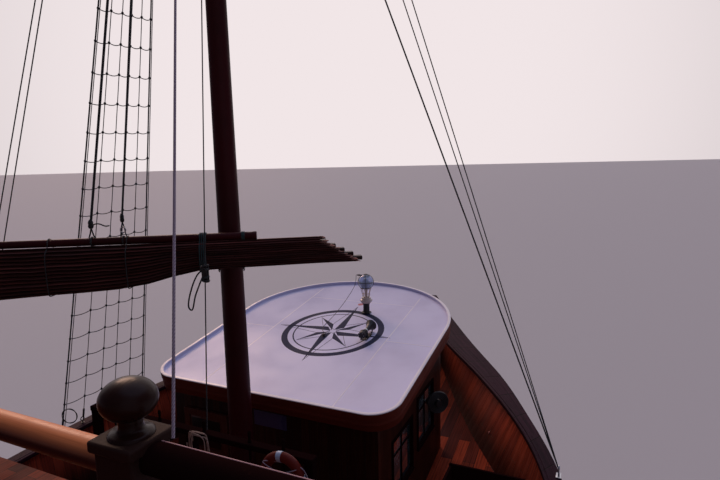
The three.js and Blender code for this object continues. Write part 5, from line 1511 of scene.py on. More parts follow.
@dataclass
class ForeRigging(Shrouds):
    """The foremast's shrouds: a rope ladder of six lines and a stay pair to port, three to starboard."""

    ladder: tuple[float, ...] = (8.55, 8.9, 9.2, 9.45, 9.72, 9.97)
    pair: tuple[float, ...] = (6.93, 7.10)
    starboard: tuple[float, float, float] = (10.134, -3.84, 3.727)
    starboard_heads: tuple[float, ...] = (14.96, 16.12, 16.78)
    spare: tuple[float, float, float] = (8.577, 3.988, 3.813)
    rung_step: float = 0.43
    rungs: int = 27

    @staticmethod
    def foot_fitting(surface: Surface, foot: Array, top: Array) -> None:
        """A ring bolt through the rail and a thimble above it."""
        way = unit(top - foot)
        surface.lathe(mm(0, 0, 30, 0, 32, 4, 28, 10, 12, 13, 10, 50, 0, 50), foot, sides=16)
        surface.tube(hoop(foot + (0, 0, 0.075), 0.034, "xz"), 0.008, sides=9, closed=True)
        surface.tube([foot + 0.13 * way, foot + 0.3 * way], 0.017, sides=12)

    def ratlines(self, rungs: Surface, feet: Array, tops: Array) -> None:
        """Sagging rungs between the ladder's lines, with a seizing at each crossing, and the spare ring."""
        share = (0.55 + self.rung_step * np.arange(self.rungs)) / float(np.linalg.norm(tops[0] - feet[0]))
        joints = feet[None] + share[:, None, None] * (tops - feet)[None]
        joints = joints + 0.1 * np.linspace(0.5, -0.5, len(feet))[None, :, None] * unit(tops - feet)[None]
        for row in joints:
            bays = [straight(a, b, 9, sag=0.024)[:-1] for a, b in zip(row[:-1], row[1:])]
            rungs.tube(np.vstack([*bays, row[-1:]]), 0.0065, sides=7)
        rungs.lathes(mm(1, -22, 14, -17, 18, -5, 18, 5, 14, 17, 1, 22), joints.reshape(-1, 3), sides=7)
        turn = np.linspace(0.0, 2 * TURN, 121)
        reach = 0.128 + 0.006 * np.cos(2.5 * turn)
        ring = stack(0.42 * reach * np.cos(turn), -0.91 * reach * np.cos(turn), reach * np.sin(turn))
        rungs.tube(self.spare + ring, 0.006)

    def shackle(self, surface: Surface, foot: Array) -> None:
        """A pale bow shackle and its ring plate on the starboard rail."""
        turn = np.linspace(-0.2 * math.pi, 1.2 * math.pi, 30)
        surface.tube(foot + (0, 0, 0.06) + stack(0.045 * np.cos(turn), 0, 0.05 * np.sin(turn)), 0.011,
                     sides=12)
        low = foot * (1, 1, 0) + (0, 0, float(line("cap", foot[0], 1)))
        surface.boxes(low - (0.07, 0.035, 0.001), low + (0.07, 0.035, 0.008))
        surface.boxes(low - (0.012, 0.012, 0), low + (0.012, 0.012, 0.05))

    def build(self) -> None:
        """Ropes, rungs with a seizing at each crossing, and the fittings at the feet and the head."""
        ropes, rungs, iron, pale = Surface(), Surface(), Surface(), Surface()
        head, shift = np.array([self.mast.x, 0.05, 16.8]), np.array([0.045, 0.0, 0.0])
        feet = rail_feet(self.ladder, (1,))
        tops = head + stack(np.linspace(-0.05, 0.05, len(feet)), 0.06, 0)
        for index, (foot, top) in enumerate(zip(feet, tops)):
            outer = index in (0, len(feet) - 1)
            ropes.tube(straight(foot, top, 40), 0.011 if outer else 0.006, sides=10)
            if outer:
                ropes.tube(straight(foot + shift, top + 0.3 * shift, 40), 0.006)
            self.foot_fitting(iron, foot, top)
        self.ratlines(rungs, feet, tops)
        for foot in rail_feet(self.pair, (1,)):
            ropes.tube(straight(foot, head + (-0.06, 0.03, 0.1), 40), 0.0075, sides=10)
            self.foot_fitting(iron, foot, head)
        foot = np.array(self.starboard)
        for height, radius in zip(self.starboard_heads, (0.0095, 0.0065, 0.0065)):
            ropes.tube(straight(foot + (0, 0, 0.06), self.head_point(foot, height), 40), radius, sides=10)
            self.band(iron, height)
        self.shackle(pale, foot)
        ropes.build("fore_stays", DARK_ROPE, replaces=[self.node], sharp=80.0)
        rungs.build("rope_ladder_rungs", DARK_ROPE, sharp=80.0)
        iron.build("fore_chain_plates", IRON, bevel=0.001)
        pale.build("starboard_shackle", STEEL, bevel=0.0015)


@dataclass
class RunningRopes:
    """Taut lines: one from the newel to the foremast's head, and the halyard's fall with its block."""

    newel: tuple[float, float, float] = (3.87, -3.285, 7.36)
    masthead: tuple[float, float, float] = (8.16, -0.1, 16.72)
    fall_foot: tuple[float, float, float] = (6.95, -0.56, 5.29)
    fall_head: tuple[float, float, float] = (8.12, -0.03, 12.6)
    block_share: float = 0.22

    def build(self) -> None:
        """Two straight ropes, a double block with its cheeks and pin, and the narrow loop below it."""
        grey = Surface().tube(straight(self.newel, self.masthead, 60, sag=0.02), 0.0042, sides=12)
        grey.build("signal_rope", GREY_LINE, sharp=80.0)
        fall, iron, turn = straight(self.fall_foot, self.fall_head, 60), Surface(), turns(32)
        dark, block = Surface().tube(fall, 0.0065, sides=10), lerp(fall[0], fall[-1], self.block_share)
        loop = block + mm(0, -20, 60, -20, 75, 0, -50, 170, -200, -60, 200, -370, -50, 170, -400, -35, 120,
                          -240,
                          -10, 50, -70, size=3)
        dark.tube(spline(loop, 80, closed=True), 0.0085, sides=10, closed=True)
        for height, lean in ((-0.07, 0.3), (-0.045, -0.4), (0.06, 0.35), (0.085, -0.3)):
            knot = stack(0.034 * np.cos(turn), 0.034 * np.sin(turn), height + lean * 0.034 * np.sin(turn))
            dark.tube(block + knot, 0.012, sides=10, closed=True)
        dark.build("halyard_fall", DARK_ROPE, sharp=80.0)
        iron.boxes(block + mm(-18, -36, -85, 12, -36, -85, size=3),
                   block + mm(-8, 36, 85, 24, 36, 85, size=3))
        iron.lathe(mm(1, -17, 28, -17, 24, 0, 28, 17, 1, 17), block, AHEAD)
        iron.lathe(mm(1, -40, 6, -40, 6, 40, 1, 40), block, AHEAD, sides=12)
        iron.build("halyard_block", IRON, bevel=0.006)


def ceiling(x: Array) -> Array:
    """How far the bulwark's foot leans in at stations x: 0.3 exp(-((x - 12.4) / 1.8)^2)."""
    return 0.3 * np.exp(-(((x - 12.4) / 1.8) ** 2))


@dataclass
class Hull:
    """Strakes over the hull's solid, its end boards, wales, and laid decks."""

    planks: int = 26
    proud: float = 0.014
    stations: int = 161
    well: tuple[float, float] = (-7.9, -4.6)
    well_half: float = 1.25

    @staticmethod
    def half_section(x: Array, rows: int) -> Array:
        """Points of the port half-section from the deck's edge to the keel, over the lines' four corners."""
        corners = [edge(name, x) for name in ("deck", "chine", "bilge", "keel")]
        knots = np.stack([*corners, corners[-1] * (1, 0, 1)], axis=1)
        lengths = np.linalg.norm(np.diff(knots, axis=1), axis=-1)
        along = np.concatenate([np.zeros((len(x), 1)), np.cumsum(lengths, axis=1)], axis=1)
        along = along / along[:, -1:]
        t = np.linspace(0.0, 1.0, rows)
        k = np.clip((t[None, :, None] >= along[:, None, 1:-1]).sum(axis=2), 0, 3)
        low, high = np.take_along_axis(along, k, 1), np.take_along_axis(along, k + 1, 1)
        share = ((t[None] - low) / np.maximum(high - low, 1e-9))[..., None]
        a, b = (np.take_along_axis(knots, (k + step)[..., None], 1) for step in (0, 1))
        return lerp(a, b, share)

    def skin(self) -> None:
        """Planks along the sides: the section pushed out by proud (1 - |2 s - 1|^8), s across a plank."""
        x = np.linspace(STERN_X + 0.001, BOW_X - 0.001, self.stations)
        points = self.half_section(x, self.planks * PER_BOARD + 1)
        out = unit(np.cross(np.gradient(points, axis=0), np.gradient(points, axis=1)))
        out = np.where((out[..., 1:2] < 0.0), -out, out)
        surface = Surface()
        surface.both(points + (0.004 + self.proud * board_swell(self.planks, 8))[:, None] * out)
        surface.build("hull_strakes", TOPSIDE, sharp=45.0)

    def ends(self) -> None:
        """Boards across the flat stern and the narrow bow, each a little proud of the solid."""
        surface, share = Surface(), np.linspace(-1.0, 1.0, 25)[:, None]
        for x, out in ((STERN_X, -1), (BOW_X, 1)):
            half = self.half_section(np.array([x]), 61)[0]
            surface.grid(stack(x + out * 0.012, share * half[:, 1], half[:, 2]), flip=out > 0)
        surface.build("end_boards", TOPSIDE)

    @staticmethod
    def wales() -> None:
        """Three rounded rubbing strakes along each side: bars on the line between deck and chine."""
        surface, x = Surface(), np.linspace(STERN_X + 0.02, BOW_X - 0.05, 140)
        c, s = np.cos(turns(14)), np.sin(turns(14))
        for share, thick in ((0.02, 0.055), (0.3, 0.04), (0.58, 0.04)):
            path = lerp(edge("deck", x), edge("chine", x), share)
            ring = thick * stack(0, np.sign(c) * np.abs(c) ** 0.6, 1.6 * np.sign(s) * np.abs(s) ** 0.6)
            surface.both(path[:, None] + ring, solid=True)
        surface.build("wales", CAP_VARNISH, sharp=50.0)

    def decks(self) -> None:
        """Laid planks in four fields round the engine well, a few millimetres over the solid."""
        solid_x, share = np.linspace(STERN_X, BOW_X, SOLID_STATIONS + 1), np.linspace(0.0, 1.0, 9)
        (aft, fore), half, surface = self.well, self.well_half, Surface()
        fields = [(STERN_X + 0.1, aft, None, None), (fore, BOW_X - 0.17, None, None),
                  (aft, fore, None, -half), (aft, fore, half, None)]
        for x0, x1, low, high in fields:
            inside = solid_x[(solid_x > x0) & (solid_x < x1)]
            x = np.concatenate([[x0], inside, [x1]])[:, None]
            rim = line("deck", x) - BULWARK_THICK - 0.005 - ceiling(x)
            y = lerp(-rim if low is None else low, rim if high is None else high, share)
            surface.grid(stack(x, y, np.interp(x, solid_x, line("deck", solid_x, 1)) + 0.004))
        surface.build("laid_deck", DECK_PLANKS)

    def build(self) -> None:
        """The solid stays under its planking."""
        coat(KEEL_WOOD, "hull")
        coat(IRON, "engine_block")
        self.skin()
        self.ends()
        self.wales()
        self.decks()


@dataclass
class Bulwarks:
    """The bulwarks: upright boards inside with real grooves, and strakes outside."""

    board: float = 0.16
    groove: float = 0.006
    stem: float = 0.16
    reflector: tuple[float, float, float] = (11.85, 2.576, 3.203)

    @staticmethod
    def wall(x: Array, share: Array, inside: bool = False) -> Array:
        """Points of the port bulwark's face at stations, from its foot at share 0 to its head at share 1."""
        foot, head = edge("deck", x), edge("cap", x) - (0, RAIL_OVERHANG, RAIL_THICK)
        if inside:
            foot, head = foot - stack(0, BULWARK_THICK + ceiling(x), 0), head - (0, BULWARK_THICK, 0)
        return lerp(foot[..., None, :], head[..., None, :], share[:, None])

    def boards(self) -> None:
        """The inner face pushed in by groove g(s), s the place across a board: 0 at its edges, 1 between."""
        count = int((BOW_X - STERN_X - 0.5) / self.board)
        x = np.linspace(STERN_X + BULWARK_THICK - 0.01, BOW_X - self.stem + 0.01, count * PER_BOARD + 1)
        points, surface = self.wall(x, np.linspace(0.0, 1.0, 7), inside=True), Surface()
        points[..., 1] -= (self.groove * board_swell(count, 6) + 0.001)[:, None]
        surface.both(points, flip=True)
        surface.build("bulwark_lining", LINING, sharp=50.0)

    def strakes(self, planks: int = 5) -> None:
        """Outer strakes, rounded across as the hull's planks are."""
        x, surface = np.linspace(STERN_X + 0.001, BOW_X - 0.001, 161), Surface()
        points = self.wall(x, np.linspace(0.0, 1.0, planks * PER_BOARD + 1))
        points[..., 1] += 0.003 + 0.011 * board_swell(planks, 8)
        surface.both(points)
        surface.build("bulwark_strakes", TOPSIDE, replaces=["bulwarks"], sharp=45.0)

    def knees(self) -> None:
        """Timber knees inside the bulwark abaft the foredeck house, each a bevelled box."""
        x = np.arange(-15.2, 15.0, 1.28)
        x, surface = x[x - 0.045 < 7.0], Surface()
        foot, head = np.moveaxis(self.wall(x, np.array([0.0, 1.0]), inside=True), 1, 0)
        inner = np.minimum(foot[:, 1], head[:, 1]) - 0.06
        for side in SIDES:
            y = np.sort([side * inner, side * (inner + 0.052)], axis=0)
            surface.boxes(stack(x - 0.045, y[0], foot[:, 2]), stack(x + 0.045, y[1], head[:, 2]))
        surface.build("bulwark_knees", TRIM, bevel=0.008)

    def reflectors(self) -> None:
        """A small round reflector on each side's lining, at its own place and turned inboard."""
        disc, (x, y, z) = Surface(), self.reflector
        for side in SIDES:
            disc.lathe(mm(0, -4, 26, -4, 26, 6, 20, 12, 0, 14), (x, side * y, z), (0, -side, 0))
        disc.build("lining_reflectors", REFLECTOR, sharp=40.0)

    def ends(self) -> None:
        """The boarded walls across the stern and inside the stem, as grids from side to side."""
        surface, share = Surface(), np.linspace(-1.0, 1.0, 33)[:, None]
        for x, out in ((STERN_X - 0.012, -1), (STERN_X + BULWARK_THICK, 1), (BOW_X - self.stem, -1),
                       (BOW_X + 0.012, 1)):
            wall = self.wall(np.array(min(max(x, STERN_X), BOW_X)), np.linspace(0.0, 1.0, 9))
            surface.grid(stack(x, share * wall[:, 1], wall[:, 2]), flip=out > 0)
        surface.build("bulwark_ends", WALL_ENDS)

    def build(self) -> None:
        """Lined inside and planked outside; the cap rail closes the top and the deck the foot."""
        self.boards()
        self.strakes()
        self.ends()
        self.reflectors()
        self.knees()


@dataclass
class CapRail:
    """The varnished cap rail: a swept section with rounded edges, a groove and a bead inboard."""

    stations: int = 241
    aft: float = STERN_X + 0.28
    fore: float = BOW_X - 0.45

    @staticmethod
    def section(x: Array) -> Array:
        """The port rail's section at stations x, as offsets from its edges and drops from its top.

        The outer edge swells by 0.05 exp(-((x - 12.2) / 0.7)^2) and the inner one lies
        0.25 + 0.36 exp(-((x - 13.8) / 1.6)^2) inside the hull's line: the rail widens towards the bow.
        """
        hull, top = line("cap", x), line("cap", x, 1)
        half = hull + 0.05 * np.exp(-(((x - 12.2) / 0.7) ** 2))
        inner = hull - 0.25 - 0.36 * np.exp(-(((x - 13.8) / 1.6) ** 2))
        runs = (
            (half, mm(0, 14, 3.5, 3.5, 14, 0, 50, 0)),
            (inner, mm(-62, 0, -58, 7, -50, 9, -44, 4, -30, 0, -12, 0, -3, 4, 0, 14, 0, 65, -6, 73, -20, 75)),
            (half, mm(80, 75, 74, 69, 66, 69, 60, 75, 12, 75, 3.6, 71.4, 0, 63)),
        )
        return np.stack([stack(x, y - offset, top - drop) for y, run in runs for offset, drop in run], axis=1)

    def build(self) -> None:
        """Two side rails, the stern's crosspiece and the breasthook at the bow, each closed at its ends."""
        surface, share = Surface(), np.linspace(-1.0, 1.0, 33)[:, None]
        surface.both(self.section(np.linspace(STERN_X, BOW_X, self.stations)), solid=True)
        for x0, x1 in ((STERN_X, self.aft), (self.fore, BOW_X)):
            x, half, top = edge("cap", np.linspace(x0, x1, 9)).T
            upper, lower = (stack(x, share * (half - 0.04),
                                  top - drop) for drop in (0.001, RAIL_THICK - 0.001))
            surface.closed(np.concatenate([upper, lower[:, ::-1]], axis=1))
        surface.build("cap_rail_varnished", CAP_VARNISH, replaces=["cap_rail"], sharp=42.0)


@dataclass
class Balustrade:
    """A deck's balustrade: square posts, a round handrail, foot and middle rails, turned spindles."""

    name: str
    node: str
    corners: tuple[tuple[float, float], ...]
    deck: float
    height: float = 0.95
    round: float = 0.04
    foot: float = 0.1
    middle: float = 0.52
    pitch: float = 2.2
    spindle_pitch: float = 0.16
    lowered: tuple[int, float] = (-1, 0.0)
    hidden: int | None = None
    # The bay whose rails are near black, as painted shade; -1 for none.
    shaded_bay: int = -1

    def bays(self) -> tuple[Array, Array]:
        """Every post's place, and every spindle's."""
        corners = np.array(self.corners)
        posts, spindles = [corners], []
        for a, b in zip(corners[:-1], corners[1:]):
            span = float(np.linalg.norm(b - a))
            count = max(1, round(span / self.pitch))
            each = span / count
            inside = max(1, int((each - 0.1) / self.spindle_pitch))
            t = (np.arange(count)[:, None] + (np.arange(inside) + 0.5)[None] / inside).reshape(-1) / count
            clear = np.abs(((t * count + 0.5) % 1.0) - 0.5) * each > 0.09
            posts.append(a + (b - a) * (np.arange(1, count) / count)[:, None])
            spindles.append(a + (b - a) * t[clear][:, None])
        return np.vstack(posts), np.vstack(spindles)

    def uprights(self) -> None:
        """Posts and the corner posts' caps as bevelled boxes, spindles as turned rows."""
        (posts, spindles), corner, wood = self.bays(), len(self.corners), Surface()
        if self.hidden is not None:
            posts, corner = np.delete(posts, self.hidden, axis=0), corner - 1
        at_corner, (x, y) = np.arange(len(posts)) < corner, posts.T
        half = np.where(at_corner, 0.05, 0.03)
        top = self.deck + np.where(at_corner, self.height, self.height - (self.round + self.lowered[1]))
        wood.boxes(stack(x - half, y - half, self.deck + HAIR), stack(x + half, y + half, top))
        x, y, cap, head = x[:corner], y[:corner], 0.057, self.deck + self.height
        wood.boxes(stack(x - cap, y - cap, head), stack(x + cap, y + cap, head + 0.02))
        wood.build(f"{self.name}_posts", TRIM, replaces=[self.node], bevel=0.006)
        low, high = self.deck + self.foot + 0.026, self.deck + self.middle - 0.026
        profile = mm(0, 0, 17, 0, 17, 40, 11, 55, 14, 90, 21, 150, 20, 190, 12, 250, 10.5, 300, 17, -45, 17,
                     0, 0, 0)
        profile[-3:, 1] += high - low
        Surface().lathes(profile, stack(*spindles.T, low), sides=10).build(f"{self.name}_spindles", TRIM,
                                                                           sharp=50.0)

    def build(self) -> None:
        """Uprights, then rails as tubes between the corners; one bay's rails are near black as painted shade,
        with a thin pale bead on its handrail as a painted highlight.
        """
        self.uprights()
        rails, black, worn = Surface(), Surface(), Surface()
        for index, (a, b) in enumerate(zip(self.corners[:-1], self.corners[1:])):
            # The shaded bay's rails go into the near-black painted-shade piece.
            run = black if index == self.shaded_bay else rails
            hand = self.height - self.round - (self.lowered[1] if index == self.lowered[0] else 0.0)
            count = max(2, int(math.dist(a, b) / 0.5))
            for height, radius, sides in ((self.foot, 0.028, 10), (self.middle, 0.028, 10),
                                          (hand, self.round, 28)):
                run.tube(straight((*a, self.deck + height), (*b, self.deck + height), count), radius, sides)
            # A thin pale bead along the shaded handrail's top: a painted highlight.
            if run is black:
                lift = np.array([0.62 * self.round, 0.0, hand + self.deck + 0.785 * self.round])
                worn.tube(straight((*a, 0) + lift, (*b, 0) + lift, 12), 0.0026)
        rails.build(f"{self.name}_rails", HANDRAIL, sharp=50.0)
        if worn.count:
            black.build(f"{self.name}_painted_shade_rail", PAINTED_SHADE_BLACK, sharp=50.0)
            worn.build(f"{self.name}_painted_highlight_edge", PAINTED_HIGHLIGHT_EDGE, sharp=80.0)


@dataclass
class Newel:
    """The newel at the head of the sundeck's forward rail: square post, cap, neck and flattened ball."""

    x: float = 3.85
    y: float = -3.17
    half: float = 0.062
    cap: float = 0.072
    ball: float = 0.07
    neck: float = 0.036
    squash: float = 0.76
    deck: float = 6.4
    height: float = 0.96

    def build(self) -> None:
        """Post and moulded cap as bevelled boxes; neck and ball turned as one profile."""
        top, x, y, h, c = self.deck + self.height, self.x, self.y, self.half, self.cap
        post = Surface().boxes([(x - h, y - h, self.deck + HAIR), (x - c, y - c, top - 0.03)],
                               [(x + h, y + h, top - 0.028), (x + c, y + c, top)])
        post.build("newel_post", NEWEL_PAINT, bevel=0.006)
        tilt, high = np.linspace(-0.36 * math.pi, 0.5 * math.pi, 40), self.ball * self.squash
        profile = np.vstack([mm(0, -10, 56, -10, 56, 3, 49, 8, 37, 11, 31, 18, 29, 26, 30.5, 33),
                             stack(self.ball * np.cos(tilt), self.neck + high + high * np.sin(tilt))])
        Surface().lathe(profile, (x, y, top), sides=96).build("newel_ball", BALL_PAINT, sharp=60.0)


@dataclass
class PinRail:
    """The pin rail ahead of the upper cabin, its turned pins, and the halyard's hank."""

    x: float = 6.95
    ends: tuple[float, float] = (-1.85, 1.15)
    top: float = 5.27
    deck: float = 4.0
    posts: tuple[float, ...] = (-1.8, -0.35, 1.1)
    pins: tuple[float, ...] = (-1.5, -1.1, -0.52, 0.1, 0.45, 0.8)
    hank_y: float = -0.52
    hank_foot: float = 5.05
    hank_turns: int = 4
    hank_half: float = 0.114
    hank_high: float = 0.22
    thick: float = 0.012

    def build(self) -> None:
        """Beam, chamfered posts, pins, then the hank."""
        wood, x, top, y = Surface(), self.x, self.top, np.array(self.posts)
        wood.boxes((x - 0.05, self.ends[0], top - 0.06), (x + 0.05, self.ends[1], top))
        wood.boxes(stack(x - 0.04, y - 0.05, self.deck + HAIR), stack(x + 0.04, y + 0.05, top - 0.059))
        # Beam and posts in the near-black finish: painted shade.
        wood.build("pin_rail_beam", PAINTED_SHADE_BLACK, replaces=["pin_rail"], bevel=0.008)
        profile = mm(0, -200, 8, -198, 12.5, -190, 13.5, -20, 17, 0, 17.5, 12, 12, 30, 13.5, 60, 16.5, 90, 15,
                     110,
                     8, 119, 0, 120)
        # The pins are near black as well: painted shade.
        pins = Surface().lathes(profile, stack(x, self.pins, top), sides=16)
        pins.build("belaying_pins", PAINTED_SHADE_BLACK, sharp=50.0)
        self.hank()

    def hank(self) -> None:
        """The halyard's tail in flat turns: a rounded rectangle whose turns lie side by side along -X."""
        loops, high, pitch, power = self.hank_turns, self.hank_high / 2, 0.0125, 0.42
        turn = np.linspace(0.0, TURN * loops, 96 * loops + 1)
        c, s = np.cos(turn), np.sin(turn)
        loose = [noise_1d(len(turn), 6 * loops + 1, seed) for seed in (61, 62)]
        y = self.hank_y + self.hank_half * np.sign(c) * np.abs(c) ** power + 0.03 * loose[0]
        z = self.hank_foot + 0.006 + high + high * np.sign(s) * np.abs(s) ** power + 0.02 * loose[1]
        x = self.x - 0.05 - 0.008 - 0.006 - pitch * turn / TURN
        path = spline(evenly(stack(x, y, z), 15 * loops + 1), 420)
        rope = Surface().tube(path, self.thick / 2, sides=10)
        hank = rope.build("halyard_tail", HANK_ROPE, replaces=["halyard_hank"], sharp=80.0)
        tuple(path[0])
        [tuple(point) for point in path]


@dataclass
class LifeRing:
    """The life ring on the pin rail: four pale bands and a grab line held at each of them."""

    x: float = 6.898
    y: float = -1.55
    z: float = 5.075
    radius: float = 0.195
    thick: float = 0.05

    def arc(self, start: float, stop: float, grow: float = 0.0) -> Array:
        """A piece of the ring's body: circles of the section at angles from start to stop."""
        turn, around, thick = np.linspace(start, stop, 40)[:, None], turns(24), self.thick + grow
        reach = self.radius + thick * np.cos(around)
        x = self.x - self.thick + thick * 0.92 * np.sin(around)
        return stack(x, self.y + reach * np.cos(turn), self.z + reach * np.sin(turn))

    def build(self) -> None:
        """Body, bands, and a line that bows outwards between the bands."""
        # The ring's body in the darkened red: painted shade.
        body = Surface().closed(self.arc(0.0, TURN * 39 / 40), close=True)
        body.build("life_ring_body", SHADED_BUOY, replaces=["life_ring"], sharp=60.0)
        bands, front = Surface(), self.x - 2.06 * self.thick
        for angle in turns(4) + 0.25 * math.pi + 0.68:
            bands.closed(self.arc(angle - 0.12, angle + 0.12, 0.0015))
        bands.build("life_ring_bands", BUOY_BAND, sharp=60.0)
        sag = mm(0, 188, 135, -4, 100, 92, -4, 0, 74, -4, -100, 92, 0, -188, 135, size=3) + (front, 0, 0)
        angle = np.radians(np.arange(-30.0, -211.0, -30.0))
        reach = self.radius + self.thick + 0.006 + 0.028 * (np.arange(len(angle)) % 2)
        rest = stack(self.x - self.thick, reach * np.cos(angle), reach * np.sin(angle))
        path = spline(np.vstack([sag, rest]), 240, closed=True) + (0, self.y, self.z)
        Surface().tube(path, 0.0045, closed=True).build("life_ring_line", GREY_LINE, sharp=80.0)


@dataclass
class Cabins:
    """Both cabins: boarded walls that keep their solids, windows, five doors, decks and stairs."""

    wide: float = 0.95

    def row(self, half: float, starts: Array, low: float, high: float) -> list[Opening]:
        """A row of like windows in both side walls."""
        return [Opening("y", side * half, side, float(a), low, float(a) + self.wide, high)
                for side in SIDES for a in starts]

    def build(self) -> None:
        """Finishes for the solids, then windows by wall, then the doors."""
        walls = ["lower_cabin", "upper_cabin"]
        coat(WALL_SIDES, *[f"{wall}_{side}_wall" for wall in walls for side in ("port", "starboard")])
        coat(WALL_ENDS, *[f"{wall}_{end}_wall" for wall in walls for end in ("front", "aft")])
        coat(DECK_PLANKS, "upper_deck", "sundeck")
        coat(TRIM, "foredeck_stair", "sundeck_stair")
        upper = -7.4 + 1.35 * np.arange(8)
        upper = upper[(upper + self.wide < -0.98) | (upper > 0.02)]
        Windows("lower_cabin", [
            *self.row(3.35, -10.2 + 1.45 * np.arange(12), 2.75, 3.5),
            *[Opening("x", 6.6, 1, a, 2.75, b, 3.5) for a, b in ((-2.8, -1.5), (1.5, 2.8))],
            *[Opening("x", -11.0, -1, a, 2.75, b, 3.5) for a, b in ((-2.8, -1.5), (1.6, 2.8))],
        ]).build()
        Windows("upper_cabin", [
            *self.row(3.0, upper, 4.85, 5.75),
            *[Opening("x", 3.45, 1, a, 5.0, b, 5.85) for a, b in ((-2.7, -1.0), (-0.8, 0.8), (1.0, 2.7))],
            *[Opening("x", -8.0, -1, a, 4.85, b, 5.75) for a, b in ((-2.5, -1.3), (1.3, 2.5))],
        ]).build()
        side_low, side_high = (-0.93, 4.06), (-0.02, 5.78)
        for body, *place in (
            (Body.LOWER_FRONT_DOOR, "x", 6.606, 1, (-0.455, 2.27), (0.455, 3.82), True),
            (Body.LOWER_AFT_DOOR, "x", -11.006, -1, (0.42, 2.06), (1.33, 3.78), False),
            (Body.UPPER_PORT_DOOR, "y", 3.006, 1, side_low, side_high, True),
            (Body.UPPER_STARBOARD_DOOR, "y", -3.006, -1, side_low, side_high, True),
            (Body.UPPER_AFT_DOOR, "x", -8.006, -1, (-0.455, 4.06), (0.455, 5.78), True),
        ):
            name = body.name.lower()
            Door(name, body, name, *place, panels=2).build()


@dataclass
class Steering:
    """Rudder of boards with iron straps, and the bronze propeller with twisted blades."""

    rudder_x: float = -13.3
    hub: tuple[float, float, float] = (-11.75, 0.0, -1.15)
    radius: float = 0.62
    blades: int = 4

    def blade(self, angle: float) -> Array:
        """A blade of lens sections: chord and pitch change with radius; thickness falls to the tip."""
        r, around = np.linspace(0.1, self.radius, 22)[:, None], turns(24)
        share = (r - 0.1) / (self.radius - 0.1)
        chord = 0.16 * np.sqrt(np.clip(1.0 - (2 * share - 0.95) ** 2 / 1.12, 0.01, 1.0)) + 0.03
        chord = np.where(share > 0.93, chord * np.sqrt(np.clip((1.0 - share) / 0.07, 0.02, 1.0)), chord)
        pitch, thick = np.arctan2(0.42, r * 1.6), 0.016 * (1 - 0.75 * share)
        along, across = chord * np.cos(around), thick * np.sin(around) * np.abs(np.sin(around)) ** 0.3
        x = along * np.sin(pitch) + across * np.cos(pitch)
        t = along * np.cos(pitch) - across * np.sin(pitch) + 0.08 * share**2
        bend = t / np.maximum(r, 0.12)
        y, z, c, s = r * np.cos(bend), r * np.sin(bend), math.cos(angle), math.sin(angle)
        return stack(x, c * y - s * z, s * y + c * z) + self.hub

    def build(self) -> None:
        """Rudder on its own body, propeller on its own."""
        x, wood, iron, bronze = self.rudder_x, Surface(), Surface(), Surface()
        edges, straps = np.linspace(-14.35, -12.75, 7), np.array([-0.65, -1.2, -1.75])
        wood.boxes(stack(edges[:-1] + 0.002, -0.042, -2.05), stack(edges[1:] - 0.002, 0.042, -0.42))
        wood.build("rudder_boards", KEEL_WOOD, Body.RUDDER, ["rudder"], bevel=0.008)
        iron.boxes(stack(-14.3, -0.047, straps), stack(-12.76, 0.047, straps + 0.07))
        iron.lathe(mm(0, -920, 66, -920, 70, -900, 70, 2500, 85, 2503, 85, 2578, 70, 2582, 60, 2600, 0, 2600),
                   (x, 0, 0), sides=36)
        iron.tube(spline([(x, 0, 2.54), (x + 0.4, 0, 2.545), (x + 0.9, 0, 2.55)], 30),
                  np.interp(np.linspace(0, 1, 30), [0, 0.7, 0.9, 1], [0.036, 0.03, 0.034, 0.028]), sides=16)
        iron.build("rudder_irons", IRON, Body.RUDDER, bevel=0.003)
        bronze.lathe(mm(0, -160, 50, -155, 85, -120, 110, -60, 120, 0, 120, 160, 0, 160), self.hub, AHEAD,
                     sides=40)
        for angle in turns(self.blades):
            bronze.closed(self.blade(angle))
        bronze.build("propeller_blades", BRONZE, Body.PROPELLER, ["propeller"], sharp=40.0)


@dataclass
class HoseReel:
    """The hose at the foredeck house's corner: two flat coils side by side on a hub with a bracket."""

    at: tuple[float, float, float] = (11.0, -1.88, 4.02)
    axis: tuple[float, float, float] = (-0.75, -0.66, 0.0)
    radius: float = 0.19
    thick: float = 0.026
    loops: int = 5

    def build(self) -> None:
        """Each coil is a spiral whose radius falls by the hose's thickness a turn, across the axis."""
        way, at, up, arm = unit(np.array(self.axis)), np.array(self.at), np.array([0.0, 0.0, 1.0]), 0.02
        side, hose, iron = unit(np.cross(way, up)), Surface(), Surface()
        turn = np.linspace(0.0, TURN * self.loops, 40 * self.loops + 1)[:, None]
        reach = self.radius - 0.96 * self.thick * turn / TURN
        for along in (-0.026, 0.0):
            hose.tube(at + along * way + reach * (np.cos(turn) * side + np.sin(turn) * up), self.thick / 2,
                      sides=10)
        iron.lathe(mm(0, -50, 50, -50, 55, -45, 55, 40, 50, 45, 0, 45), at, way, sides=32)
        iron.boxes(at - (arm, 0, arm), (at[0] + arm, -1.72, at[2] + arm))
        iron.build("hose_hub", IRON, sharp=40.0)
        hose.build("coiled_hose", RUBBER, sharp=80.0)


